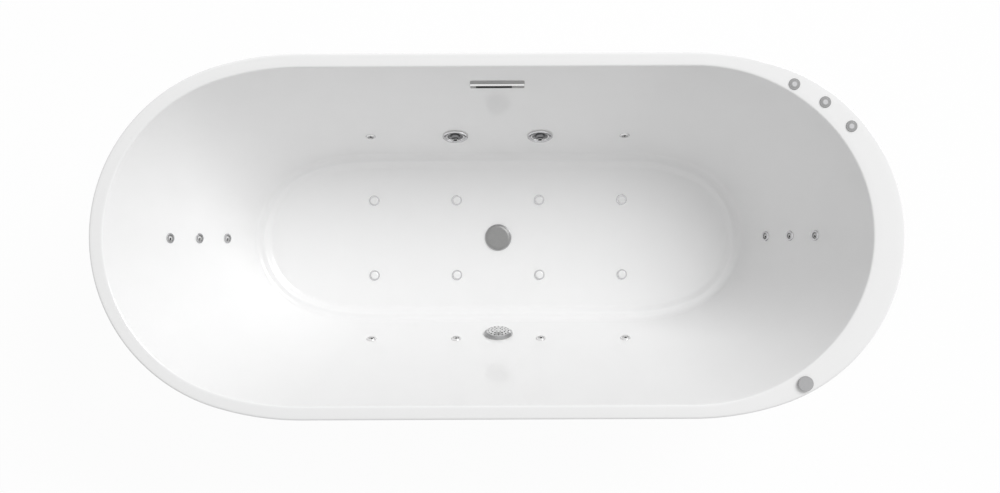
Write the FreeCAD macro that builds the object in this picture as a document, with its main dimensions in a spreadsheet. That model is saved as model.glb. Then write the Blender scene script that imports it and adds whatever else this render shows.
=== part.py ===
"""Oval jetted bathtub: shell, skirt, frame, waste, jets, pipes and machines.

Millimetres, +Z up. The origin lies on the floor under the middle of the rim. +X runs
towards the end with the wide deck, +Y towards the side with the overflow.
"""
import FreeCAD
import Part
import Sketcher
import math
import os
import re
from collections import namedtuple
from FreeCAD import Placement, Rotation, Vector

SIZES = {
    # rim and basin
    "bath_length": 1780, "bath_width": 800, "bath_height": 580, "rim_shoulder": 630,
    "rim_end": 388.5, "rim_width": 30, "deck_width": 68, "deck_shoulder": 400, "deck_end": 351.5,
    "shell_wall": 6, "lip_drop": 32, "lip_wall": 4, "rim_edge_round": 5, "basin_edge_round": 5,
    # foot of the basin: a ledge, a rounded ridge and the floor one step down
    "floor_height": 150, "step_rise": 10, "step_run": 14, "ridge_half_length": 581,
    "ridge_half_width": 188, "ridge_shoulder": 400, "ridge_end": 172, "ledge_width": 17,
    "well_offset": 3, "ledge_cove": 18, "ridge_round": 12, "floor_cove": 16,
    # outer skirt
    "skirt_wall": 4, "skirt_gap": 0.3, "skirt_lift": 3, "skirt_base_inset": 62,
    "skirt_base_draw": 30,
    # frame under the floor
    "board_thickness": 16, "board_half_length": 530, "board_half_width": 168,
    "bar_size": 30, "bar_wall": 2, "rail_half_length": 540, "rail_spread": 150,
    "cross_bar_inner": 175, "cross_bar_outer": 500, "cross_bar_half_length": 250,
    "bolt_radius": 4, "bolt_head_radius": 7, "bolt_head_height": 5, "bolt_bite": 10,
    "foot_spread": 228, "stud_radius": 6, "stud_top": 112, "nut_height": 9, "nut_flats": 19,
    "pad_radius": 25, "pad_height": 14, "pad_socket": 8, "fastener_gap": 0.3,
    "tray_reach": 190, "tray_half_width": 165, "tray_sheet": 3, "tray_height": 22,
    # waste and pop-up plug
    "fittings_offset": 2, "waste_radius": 24, "waste_wall": 2, "waste_flange": 33,
    "waste_flange_height": 2.2, "waste_sleeve": 26, "waste_gap": 0.5, "waste_web": 4,
    "plug_radius": 30.5, "plug_height": 6.5, "plug_stem": 4, "plug_stem_length": 22,
    "slide_gap": 0.05, "seat_gap": 0.3, "seal_height": 3, "seal_radius": 34,
    "shoe_radius": 27, "shoe_bottom": 66, "shoe_spigot_height": 80, "shoe_spigot_reach": 58,
    "trap_radius": 40, "trap_bottom": 14, "trap_outlet_height": 44, "trap_outlet_radius": 20,
    "trap_bend": 24, "trap_outlet_reach": 62, "outlet_end": 4, "moulding_wall": 3,
    # overflow
    "overflow_depth": 76.5, "overflow_width": 121, "overflow_plate": 30, "overflow_hood": 13,
    "overflow_sheet": 2, "slot_width": 92, "slot_height": 11, "overflow_box_width": 106,
    "overflow_box_height": 36, "overflow_box_depth": 32, "overflow_hose_radius": 14,
    "overflow_hose_distance": 24.5, "hose_wall": 2,
    # jets in the walls
    "side_jet_depth": 320, "jet_pitch": 204, "back_jet_depth": 170, "back_jet_pitch": 79.5,
    "main_distance": 60, "air_distance": 45, "bite": 3,
    "jet_flange": 30, "jet_cup_radius": 25, "jet_cup_depth": 34, "jet_barrel": 16,
    "jet_face_radius": 22, "jet_face_depth": 10, "jet_face_front": 3, "jet_ball": 12,
    "jet_ball_centre": -1, "jet_bore": 5, "jet_trim_height": 5, "flange_height": 2,
    "micro_flange": 12, "micro_barrel": 9.5, "micro_nozzle": 7, "micro_nozzle_depth": 12,
    "micro_nozzle_front": 2.4, "micro_outlet": 2, "micro_outlet_offset": 3, "micro_bore": 3.5,
    "micro_trim_height": 2.8, "wall_nut_height": 6, "wall_nut_border": 6, "hole_gap": 0.5,
    "nipple_radius": 4.5,
    # suction fitting
    "suction_depth": 342, "suction_flange": 33, "suction_barrel": 29, "suction_barrel_depth": 46,
    "suction_cover_radius": 34, "suction_cover_height": 12.5, "suction_hole": 2,
    # air jets in the floor
    "air_jet_spread": 93, "air_jet_radius": 12.5, "air_jet_cap": 9.3, "air_jet_barrel": 8,
    "air_jet_bore": 5, "air_jet_height": 2.4, "board_hole": 17,
    # deck fittings
    "control_radius": 360, "button_first": 41, "button_pitch": 12.4, "button_bezel": 12.5,
    "button_radius": 8.5, "button_body": 10, "button_depth": 42, "button_stand": 4,
    "button_travel": 3, "air_control_radius": 365, "air_control_angle": -62.5,
    "knob_radius": 16.5, "knob_height": 9, "knob_stem": 5, "air_control_body": 11,
    "air_control_depth": 60, "tube_radius": 2.5, "tube_bore": 1.5,
    # pipes
    "main_radius": 15, "pipe_wall": 2.5, "riser_radius": 13, "air_pipe_radius": 9,
    "air_pipe_depth": 290, "air_pipe_gap": 5, "air_pipe_flat": 12, "air_pipe_shoulder": 200,
    "air_riser_radius": 7, "air_riser_offset": 36, "air_riser_distance": 33,
    "main_gap": 72, "air_gap": 40, "suction_pipe_radius": 24,
    "manifold_radius": 12, "manifold_height": 113,
    "blower_hose_radius": 13, "loop_depth": 125, "loop_gap": 16,
    # pump, blower and control box
    "pump_x": 645, "pump_height": 95, "pump_front": -140, "volute_radius": 69.5,
    "volute_length": 74, "volute_wall": 5, "port_radius": 14, "motor_radius": 56,
    "motor_length": 162, "shaft_radius": 6, "impeller_radius": 60, "inlet_reach": 18,
    "blower_x": -620, "scroll_radius": 74, "scroll_height": 68, "scroll_wall": 3,
    "blower_motor_radius": 44, "blower_motor_height": 42, "fan_radius": 62, "outlet_x": -575,
    "box_length": 104, "box_width": 50, "box_height": 98, "box_wall": 3, "lid_height": 4,
    "box_centre_y": 137, "box_centre_x": 620, "gland_radius": 9, "gland_bore": 4.5,
    "gland_drop": 14,
}

doc = FreeCAD.newDocument("jetted_bathtub")
sheet = doc.addObject("Spreadsheet::Sheet", "dims")
for row, (alias, number) in enumerate(SIZES.items(), 1):
    sheet.set("A%d" % row, alias)
    sheet.set("B%d" % row, str(number))
    sheet.setAlias("B%d" % row, alias)
doc.recompute()

PIECES = []
UP = Vector(0, 0, 1)
Outline = namedtuple(
    "Outline", "left right half_width left_shoulder left_end right_shoulder right_end")


class Reader:
    """Reads a dimension of the sheet as an attribute."""

    def __getattr__(self, alias):
        return float(sheet.get(alias))


d = Reader()


def ref(formula):
    """The formula with the name of each dimension pointed at its cell."""
    point = lambda word: "dims." + word.group() if word.group() in SIZES else word.group()
    return re.sub(r"[a-z][a-z_]+", point, str(formula))


def value(formula):
    """The number that a formula of dimensions gives now."""
    return float(sheet.evalExpression(ref(formula)))


def keep(piece, label):
    """Names a piece and puts it among those that are written out."""
    piece.Label = label
    PIECES.append(piece)
    return piece


# ---------------------------------------------------------------- sketches and solids

def origin_plane(body, role):
    return [f for f in body.Origin.OriginFeatures if f.Role == role][0]


def new_sketch(body, name, role="XY_Plane", height=None):
    sketch = body.newObject("Sketcher::SketchObject", name)
    sketch.AttachmentSupport = [(origin_plane(body, role), "")]
    sketch.MapMode = "FlatFace"
    if height is not None:
        sketch.setExpression("AttachmentOffset.Base.z", ref(height))
    return sketch


def drive(sketch, formula, *constraint):
    """Adds a dimension to a sketch and binds it to a formula."""
    index = sketch.addConstraint(Sketcher.Constraint(*constraint, value(formula)))
    sketch.setExpression("Constraints[%d]" % index, ref(formula))


def polygon(sketch, corners):
    """Closed polygon whose corners are pairs of formulas."""
    spots = [Vector(value(a), value(b), 0) for a, b in corners]
    ends = spots[1:] + spots[:1]
    sketch.addGeometry([Part.LineSegment(p, q) for p, q in zip(spots, ends)], False)
    count = len(corners)
    for i in range(count):
        sketch.addConstraint(Sketcher.Constraint("Coincident", i, 2, (i + 1) % count, 1))
    for i, (a, b) in enumerate(corners):
        drive(sketch, a, "DistanceX", -1, 1, i, 1)
        drive(sketch, b, "DistanceY", -1, 1, i, 1)


def turned(name, corners):
    """Body turned about +Z from a profile of (radius, height) formulas."""
    body = doc.addObject("PartDesign::Body", name)
    sketch = new_sketch(body, name + "_profile", "XZ_Plane")
    polygon(sketch, corners)
    turn = body.newObject("PartDesign::Revolution", name + "_turn")
    turn.Profile = sketch
    turn.ReferenceAxis = (sketch, ["V_Axis"])
    turn.Angle = 360
    doc.recompute([body])
    return body


def ring(name, inner, outer, low, high):
    """Plain turned ring between two heights."""
    return turned(name, [(inner, low), (outer, low), (outer, high), (inner, high)])


def bind(piece, **formulas):
    for name, formula in formulas.items():
        piece.setExpression(name.replace("__", "."), ref(formula))
    return piece


def box(name, corner, size):
    """Part::Box with its corner and size bound to formulas."""
    piece = doc.addObject("Part::Box", name)
    return bind(piece, Placement__Base__x=corner[0], Placement__Base__y=corner[1],
                Placement__Base__z=corner[2], Length=size[0], Width=size[1], Height=size[2])


def cylinder(name, radius, height, base, axis=None):
    """Part::Cylinder with its radius, height and foot bound to formulas."""
    piece = doc.addObject("Part::Cylinder", name)
    if axis is not None:
        piece.Placement = Placement(Vector(), Rotation(UP, axis))
    return bind(piece, Radius=radius, Height=height, Placement__Base__x=base[0],
                Placement__Base__y=base[1], Placement__Base__z=base[2])


def fuse(name, *shapes):
    piece = doc.addObject("Part::MultiFuse", name)
    piece.Shapes = shapes
    doc.recompute([piece])
    return piece


def cut(name, base, *tools):
    """The base with one or more tools taken away."""
    piece = doc.addObject("Part::Cut", name)
    piece.Base = base
    piece.Tool = tools[0] if len(tools) == 1 else fuse(name + "_tools", *tools)
    doc.recompute([piece])
    return piece


def made(name, shape):
    """Part::Feature that holds a shape worked out here."""
    piece = doc.addObject("Part::Feature", name)
    piece.Shape = shape
    return piece


def copies(master, places):
    """Compound of the master's shape at each placement."""
    shapes = []
    for place in places:
        shape = master.Shape.copy()
        shape.Placement = place.multiply(shape.Placement)
        shapes.append(shape)
    return Part.makeCompound(shapes)


def at(x, y, z):
    return Placement(Vector(x, y, z), Rotation())


# ---------------------------------------------------------------- oval outlines

def grown(outline, side, left=None, right=None):
    """Outline moved outwards by formulas, at its sides and at each end."""
    extra = [left or side, right or side, side, side, side, side, side]
    return Outline(*("(%s) + (%s)" % pair for pair in zip(outline, extra)))


def numbers(outline):
    return Outline(*(value(formula) for formula in outline))


def oval_curves(o):
    """Eight tangent curves, anticlockwise from the right end arc.

    A shoulder arc that is tangent to the straight side meets an end arc centred on the
    long axis where both point the same way, so the cosine of the shoulder's turn is
    (shoulder - half_width) / (shoulder - end).
    """
    quarter = math.pi / 2
    right_turn = math.acos((o.right_shoulder - o.half_width) / (o.right_shoulder - o.right_end))
    left_turn = math.acos((o.left_shoulder - o.half_width) / (o.left_shoulder - o.left_end))
    right_end = o.right - o.right_end
    left_end = o.left_end - o.left
    right_side = right_end - (o.right_shoulder - o.right_end) * math.sin(right_turn)
    left_side = left_end + (o.left_shoulder - o.left_end) * math.sin(left_turn)
    drop_right = o.half_width - o.right_shoulder
    drop_left = o.half_width - o.left_shoulder

    def arc(x, y, radius, start, end):
        circle = Part.Circle(Vector(x, y, 0), UP, radius)
        return Part.ArcOfCircle(circle, start, end)

    return [
        arc(right_end, 0, o.right_end, right_turn - quarter, quarter - right_turn),
        arc(right_side, drop_right, o.right_shoulder, quarter - right_turn, quarter),
        Part.LineSegment(Vector(right_side, o.half_width, 0), Vector(left_side, o.half_width, 0)),
        arc(left_side, drop_left, o.left_shoulder, quarter, quarter + left_turn),
        arc(left_end, 0, o.left_end, quarter + left_turn, 3 * quarter - left_turn),
        arc(left_side, -drop_left, o.left_shoulder, 3 * quarter - left_turn, 3 * quarter),
        Part.LineSegment(Vector(left_side, -o.half_width, 0),
                         Vector(right_side, -o.half_width, 0)),
        arc(right_side, -drop_right, o.right_shoulder, 3 * quarter, 3 * quarter + right_turn),
    ]


def oval_sketch(body, name, height, outline):
    """Sketch of an oval whose arcs are held tangent and sized by the outline's formulas."""
    sketch = new_sketch(body, name, height=height)
    sketch.addGeometry(oval_curves(numbers(outline)), False)
    for i in range(8):
        sketch.addConstraint(Sketcher.Constraint("Tangent", i, 2, (i + 1) % 8, 1))
    for i in (2, 6):
        sketch.addConstraint(Sketcher.Constraint("Horizontal", i))
    radii = {0: outline.right_end, 1: outline.right_shoulder, 7: outline.right_shoulder,
             3: outline.left_shoulder, 5: outline.left_shoulder, 4: outline.left_end}
    for i, formula in radii.items():
        drive(sketch, formula, "Radius", i)
    drive(sketch, outline.half_width, "DistanceY", -1, 1, 2, 1)
    drive(sketch, "-(%s)" % outline.half_width, "DistanceY", -1, 1, 6, 1)
    drive(sketch, "(%s) - (%s)" % (outline.right, outline.right_end), "DistanceX", -1, 1, 0, 3)
    drive(sketch, "(%s) - (%s)" % (outline.left_end, outline.left), "DistanceX", -1, 1, 4, 3)
    for i in (0, 4):
        sketch.addConstraint(Sketcher.Constraint("PointOnObject", i, 3, -1))
    return sketch


def feature(body, kind, name, profile, **settings):
    """PartDesign feature on a profile."""
    piece = body.newObject("PartDesign::" + kind, name)
    piece.Profile = profile
    for key, setting in settings.items():
        setattr(piece, key, setting)
    return piece


def pad(body, name, profile, length, kind="Pad", reverse=False):
    piece = feature(body, kind, name, profile, Reversed=reverse)
    piece.setExpression("Length", ref(length))
    doc.recompute([body])
    return piece


def loft(body, name, kind, sections, ruled=True):
    piece = feature(body, kind, name, sections[0], Sections=sections[1:], Ruled=ruled)
    doc.recompute([body])
    return piece


def round_edge(body, name, half_width, height, radius):
    """Fillet along an oval edge, picked by its straight stretch, which leads it all round."""
    y, z = value(half_width), value(height)
    picked = []
    for i, edge in enumerate(body.Shape.Edges, 1):
        low, high = edge.BoundBox.getPoint(0), edge.BoundBox.getPoint(6)
        if abs(low.z - z) + abs(high.z - z) + abs(low.y - y) + abs(high.y - y) < 0.01:
            picked.append("Edge%d" % i)
    fillet = body.newObject("PartDesign::Fillet", name)
    fillet.Base = (body.Tip if body.Tip != fillet else fillet.BaseFeature, picked)
    fillet.setExpression("Radius", ref(radius))
    doc.recompute([body])
    return fillet


RIM = Outline("bath_length / 2", "bath_length / 2", "bath_width / 2",
              "rim_shoulder", "rim_end", "rim_shoulder", "rim_end")
BASIN_TOP = Outline("bath_length / 2 - rim_width", "bath_length / 2 - deck_width",
                    "bath_width / 2 - rim_width", "rim_shoulder - rim_width",
                    "rim_end - rim_width", "deck_shoulder", "deck_end")
RIDGE = Outline("ridge_half_length - well_offset", "ridge_half_length + well_offset",
                "ridge_half_width", "ridge_shoulder", "ridge_end", "ridge_shoulder", "ridge_end")
LEDGE = grown(RIDGE, "ledge_width")
FLOOR = grown(RIDGE, "-step_run")
LEDGE_HEIGHT = "(floor_height + step_rise)"
DECK_UNDERSIDE = "(bath_height - shell_wall)"
FLOOR_UNDERSIDE = "(floor_height - shell_wall)"
DROP = "(bath_height - floor_height - step_rise)"


def slope(part):
    """How far the basin wall moves outwards for each millimetre of height."""
    return "((%s - (%s)) / %s)" % (getattr(BASIN_TOP, part), getattr(LEDGE, part), DROP)


def cove_level(base, share):
    """Rise, and outline, at a share of the round between a level face and the wall."""
    steep = slope("half_width")
    turn = "(%s * atan(1 / %s))" % (share, steep)
    rise = "(ledge_cove * (1 - cos%s))" % turn
    offsets = []
    for part in ("half_width", "left", "right"):
        lean = slope(part)
        root = "sqrt(1 + %s * %s)" % (lean, lean)
        foot = "ledge_cove * (sqrt(1 - (1 - %s / ledge_cove) ^ 2) - %s + %s)" % (
            rise, root, lean)
        offsets.append("(%s > ledge_cove * (1 - %s / %s) ? %s * %s : %s)" % (
            rise, lean, root, lean, rise, foot))
    side, left, right = offsets
    return rise, grown(base, side, left, right)


def wall_shift(part):
    """Horizontal distance from the inner face of the wall to its outer face."""
    return "shell_wall * sqrt(1 + %s * %s)" % (slope(part), slope(part))


def wall_outline(height, distance):
    """Numbers of the oval that lies a distance behind the wall, square to it, at a height."""
    top, foot = numbers(BASIN_TOP), numbers(LEDGE)
    share = (d.bath_height - height) / value(DROP)
    level = [a + (b - a) * share for a, b in zip(top, foot)]
    lean = [math.hypot(1, value(slope(part))) for part in ("left", "right", "half_width")]
    return Outline(*(a + distance * k for a, k in zip(level, lean + [1, 1, 1, 1])))


def half_width_at(outline, x):
    """Half width of an oval where it crosses a given x."""
    reach, shoulder, end = outline.right, outline.right_shoulder, outline.right_end
    if x < 0:
        reach, shoulder, end = outline.left, outline.left_shoulder, outline.left_end
    tip, drop = reach - end, shoulder - outline.half_width
    bend = math.acos(drop / (shoulder - end))
    side = tip - (shoulder - end) * math.sin(bend)
    if abs(x) < side:
        return outline.half_width
    if abs(x) < side + shoulder * math.sin(bend):
        return math.sqrt(shoulder ** 2 - (abs(x) - side) ** 2) - drop
    return math.sqrt(end ** 2 - (abs(x) - tip) ** 2)


INWARD = {"far": Vector(0, -1, 0), "near": Vector(0, 1, 0), "left": Vector(1, 0, 0),
          "right": Vector(-1, 0, 0)}
WALL_PART = {"far": "half_width", "near": "half_width", "left": "left", "right": "right"}


def on_wall(side, along, depth, lift=0.0):
    """Frame on the basin wall: its Z points into the basin, its Y up the wall."""
    lean = value(slope(WALL_PART[side]))
    level = INWARD[side]
    reach = value(getattr(BASIN_TOP, WALL_PART[side])) - lean * depth
    normal = (level + UP * lean).normalize()
    upward = (UP - level * lean).normalize()
    across = Vector(along, 0, 0) if side in ("far", "near") else Vector(0, along, 0)
    spot = across - level * reach + UP * (d.bath_height - depth)
    turn = Rotation(upward.cross(normal), upward, normal, "ZYX")
    return Placement(spot + normal * lift, turn)


def spot_of(frame, x, y, z):
    """Point given in a frame, in the bath's own coordinates."""
    return frame.multVec(Vector(x, y, z))


# ---------------------------------------------------------------- tubes

def rounded_path(points):
    """Straight runs joined by tangent arcs, each as large as its two runs allow."""
    edges, start, least = [], points[0], 1e9
    for number, (before, corner, after) in enumerate(zip(points, points[1:], points[2:]), 3):
        incoming, outgoing = corner - before, after - corner
        turn = incoming.getAngle(outgoing)
        trim = min(incoming.Length * (0.9 if number == 3 else 0.45),
                   outgoing.Length * (0.9 if number == len(points) else 0.45))
        least = min(least, trim / math.tan(turn / 2))
        first = corner - incoming.normalize() * trim
        last = corner + outgoing.normalize() * trim
        inward = (first + last) * 0.5 - corner
        sagitta = trim / math.tan(turn / 2) * (1 / math.cos(turn / 2) - 1)
        middle = corner + inward.normalize() * sagitta
        edges.append(Part.LineSegment(start, first).toShape())
        edges.append(Part.Arc(first, middle, last).toShape())
        start = last
    edges.append(Part.LineSegment(start, points[-1]).toShape())
    return Part.Wire(edges), least


def rod(path, radius):
    """Solid round section carried along a path."""
    first = path.OrderedEdges[0]
    start = first.firstVertex().Point if first.Orientation == "Forward" else \
        first.lastVertex().Point
    tangent = first.tangentAt(first.getParameterByLength(0.0))
    circle = Part.Wire(Part.makeCircle(radius, start, tangent))
    return path.makePipeShell([circle], True, False)


def hose(name, points, radius, bore):
    """Hollow tube along a route of points. Returns the shape with its bore open."""
    path, least = rounded_path(points)
    shape = rod(path, radius).cut(rod(path, bore))
    print("%s: length %.0f, tightest bend %.0f, volume ratio %.4f" % (
        name, path.Length, least,
        shape.Volume / (math.pi * (radius ** 2 - bore ** 2) * path.Length)))
    return shape


def straight(start, end, radius):
    return Part.makeCylinder(radius, (end - start).Length, start, end - start)


def open_ring(outline, height, side, start, end, radius):
    """Round bar along an oval that is left open on one long side, between two x values."""
    bars = []
    for curve in oval_curves(outline):
        if isinstance(curve, Part.ArcOfCircle):
            first, last = curve.FirstParameter, curve.LastParameter
            bend = Part.makeTorus(curve.Radius, radius, Vector(), UP, 0, 360,
                                  math.degrees(last - first))
            bend.Placement = Placement(curve.Center + UP * height,
                                       Rotation(UP, math.degrees(first)))
            bars.append(bend)
            continue
        right, left = sorted((curve.StartPoint, curve.EndPoint), key=lambda p: -p.x)
        lift = UP * height
        if (side == "near") == (right.y < 0):
            bars.append(straight(right + lift, Vector(start, right.y, height), radius))
            bars.append(straight(left + lift, Vector(end, left.y, height), radius))
        else:
            bars.append(straight(right + lift, left + lift, radius))
    return bars[0].fuse(bars[1:]).removeSplitter()


# ---------------------------------------------------------------- where the fittings are

X0 = d.fittings_offset
SIDE_JETS = [on_wall("far", X0 + n * d.jet_pitch, d.side_jet_depth) for n in (-1.5, 1.5)]
SIDE_JETS += [on_wall("near", X0 + n * d.jet_pitch, d.side_jet_depth)
              for n in (-1.5, -0.5, 0.5, 1.5)]
BIG_JETS = {"left": on_wall("far", X0 - d.jet_pitch / 2, d.side_jet_depth),
            "right": on_wall("far", X0 + d.jet_pitch / 2, d.side_jet_depth)}
BACK_JETS = {"%s_%s" % (side, place): on_wall(side, 0, d.back_jet_depth + n * d.back_jet_pitch,
                                              d.seat_gap)
             for side in ("left", "right")
             for n, place in enumerate(("upper", "middle", "lower"))}
SUCTION = on_wall("near", X0, d.suction_depth)
OVERFLOW = on_wall("far", X0, d.overflow_depth)
AIR_JETS = [at(X0 + n * d.jet_pitch * 1.005, side * d.air_jet_spread, d.floor_height)
            for side in (-1, 1) for n in (-1.5, -0.5, 0.5, 1.5)]
DRAIN = at(X0, 0, d.floor_height)


def on_deck(radius, angle):
    """Place on the deck, by radius and angle about the centre of the rim's end arc."""
    centre = d.bath_length / 2 - d.rim_end
    turn = math.radians(angle)
    return at(centre + radius * math.cos(turn), radius * math.sin(turn), d.bath_height)


BUTTONS = {place: on_deck(d.control_radius, d.button_first + n * d.button_pitch)
           for n, place in enumerate(("front", "middle", "rear"))}
AIR_CONTROL = on_deck(d.air_control_radius, d.air_control_angle)
MAIN_HEIGHT = spot_of(SIDE_JETS[0], 0, 0, -d.main_distance).z
MAIN = wall_outline(MAIN_HEIGHT, d.main_distance)
AIR_HEIGHT = d.bath_height - d.air_pipe_depth


def wall_tool(frame, radius, depth=40.0):
    """Cylinder that runs through the wall at a fitting."""
    place = frame.multiply(at(0, 0, -depth / 2))
    tool = Part.makeCylinder(radius, depth)
    tool.Placement = place
    return tool


# ---------------------------------------------------------------- bath shell and skirt

def round_levels(body, name, base, height):
    """Sketches from the top of the round at the foot of the wall down to the level face."""
    sketches = []
    for step in range(4, -1, -1):
        rise, outline = cove_level(base, "%d / 4" % step)
        sketches.append(oval_sketch(body, "%s_%d" % (name, step), "%s + %s" % (height, rise),
                                    outline))
    return sketches


def make_bath_shell():
    """Moulded shell: flat rim with a turned-down lip, sloping basin, ledge and well."""
    body = doc.addObject("PartDesign::Body", "shell_moulding")
    lip_foot = "bath_height - lip_drop"
    rim = oval_sketch(body, "rim_outline", lip_foot, RIM)
    pad(body, "rim_block", rim, "lip_drop")
    hollow = oval_sketch(body, "lip_hollow", lip_foot, grown(RIM, "-lip_wall"))
    pad(body, "rim_underside", hollow, "lip_drop - shell_wall", "Pocket", True)
    shifts = [wall_shift(part) for part in ("half_width", "left", "right")]
    underside = wall_level(FLOOR_UNDERSIDE, shifts)
    outside = [oval_sketch(body, "outer_top", DECK_UNDERSIDE,
                           wall_level(DECK_UNDERSIDE, shifts))]
    outside += round_levels(body, "foot_level", underside, FLOOR_UNDERSIDE)
    loft(body, "basin_outside", "AdditiveLoft", outside)
    basin = [oval_sketch(body, "basin_top", "bath_height", BASIN_TOP)]
    basin += round_levels(body, "cove_level", LEDGE, LEDGE_HEIGHT)
    loft(body, "basin", "SubtractiveLoft", basin)
    well = [oval_sketch(body, "well_top", LEDGE_HEIGHT, RIDGE),
            oval_sketch(body, "well_floor", "floor_height", FLOOR)]
    loft(body, "well", "SubtractiveLoft", well)
    round_edge(body, "floor_cove_round", FLOOR.half_width, "floor_height", "floor_cove")
    round_edge(body, "ridge_edge_round", RIDGE.half_width, LEDGE_HEIGHT, "ridge_round")
    round_edge(body, "basin_edge_rounding", BASIN_TOP.half_width, "bath_height",
               "basin_edge_round")
    round_edge(body, "rim_edge_rounding", RIM.half_width, "bath_height", "rim_edge_round")

    holes = [wall_tool(frame, d.micro_barrel + d.hole_gap)
             for frame in SIDE_JETS + list(BACK_JETS.values())]
    holes += [wall_tool(frame, d.jet_cup_radius + d.hole_gap) for frame in BIG_JETS.values()]
    holes.append(wall_tool(SUCTION, d.suction_barrel + d.hole_gap))
    holes += [wall_tool(frame, d.air_jet_barrel + d.hole_gap) for frame in AIR_JETS]
    holes.append(wall_tool(DRAIN, d.waste_radius + d.waste_gap))
    holes += [wall_tool(frame, d.button_body + d.hole_gap) for frame in BUTTONS.values()]
    holes.append(wall_tool(AIR_CONTROL, d.air_control_body + d.hole_gap))
    slot = Part.makeBox(d.slot_width, d.slot_height, 40,
                        Vector(-d.slot_width / 2, -d.slot_height / 2, -20))
    slot.Placement = OVERFLOW
    holes.append(slot)
    keep(cut("bath_shell", body, made("shell_holes", Part.makeCompound(holes))), "bath_shell")


def wall_level(height, shifts):
    """Formulas of the shell's outer face at a height, with the wall's slopes carried on."""
    extra = []
    for part, shift in zip(("half_width", "left", "right"), shifts):
        extra.append("%s - %s * (%s - %s)" % (shift, slope(part), LEDGE_HEIGHT, height))
    side, left, right = extra
    base = LEDGE
    if height == DECK_UNDERSIDE:
        rise = "(bath_height - %s)" % height
        side, left, right = ("%s - %s * %s" % (shift, slope(part), rise)
                             for part, shift in zip(("half_width", "left", "right"), shifts))
        base = BASIN_TOP
    return grown(base, "shell_wall")._replace(
        left="(%s) + %s" % (base.left, left), right="(%s) + %s" % (base.right, right),
        half_width="(%s) + %s" % (base.half_width, side))


def skirt_level(share, inset):
    """Skirt outline at a share of its height: its inset grows with the square of the fall."""
    fall = "(1 - %s) * (1 - %s)" % (share, share)
    side = "-(lip_wall + skirt_gap + %s + skirt_base_inset * %s)" % (inset, fall)
    end = "%s - skirt_base_draw * %s" % (side, fall)
    return grown(RIM, side, end, end)


def make_skirt():
    """Outer apron that curves in towards the floor and meets the rim's underside."""
    body = doc.addObject("PartDesign::Body", "outer_skirt")
    rise = "(%s - skirt_lift)" % DECK_UNDERSIDE
    for kind, inset in (("AdditiveLoft", "0"), ("SubtractiveLoft", "skirt_wall")):
        sections = []
        for step in range(5):
            share = "%d / 4" % step
            height = "skirt_lift + %s * %s" % (rise, share)
            name = "%s_level_%d" % (kind.lower(), step)
            sections.append(oval_sketch(body, name, height, skirt_level(share, inset)))
        loft(body, kind.lower(), kind, sections, ruled=False)
    keep(body, "outer_skirt")


# ---------------------------------------------------------------- frame and feet

RAIL_TOP = "(%s - board_thickness)" % FLOOR_UNDERSIDE
RAIL_FOOT = "(%s - bar_size)" % RAIL_TOP
BAR_FOOT = "(%s - 2 * bar_size)" % RAIL_TOP
BAR_PLACES = [x for x in (-d.cross_bar_outer, -d.cross_bar_inner, d.cross_bar_inner,
                          d.cross_bar_outer)]
CROSSINGS = [(x, y) for x in BAR_PLACES for y in (-d.rail_spread, d.rail_spread)]
FEET = [(x, y) for x in BAR_PLACES for y in (-d.foot_spread, d.foot_spread)]


def square_tube(name, half_length, along_x):
    """Square tube centred on its length, with its foot at height 0."""
    size, wall = "bar_size", "bar_wall"
    outer, inner = "-bar_size / 2", "bar_wall - bar_size / 2"
    long, hollow = "2 * " + half_length, "bar_size - 2 * bar_wall"
    start = "-" + half_length
    if along_x:
        solid = box(name + "_solid", (start, outer, "0"), (long, size, size))
        space = box(name + "_space", (start, inner, wall), (long, hollow, hollow))
    else:
        solid = box(name + "_solid", (outer, start, "0"), (size, long, size))
        space = box(name + "_space", (inner, start, wall), (hollow, long, hollow))
    return cut(name, solid, space)


def upright(spots, radius, low, high):
    """Compound of vertical cylinders."""
    return Part.makeCompound([Part.makeCylinder(radius, high - low, Vector(x, y, low))
                              for x, y in spots])


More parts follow.
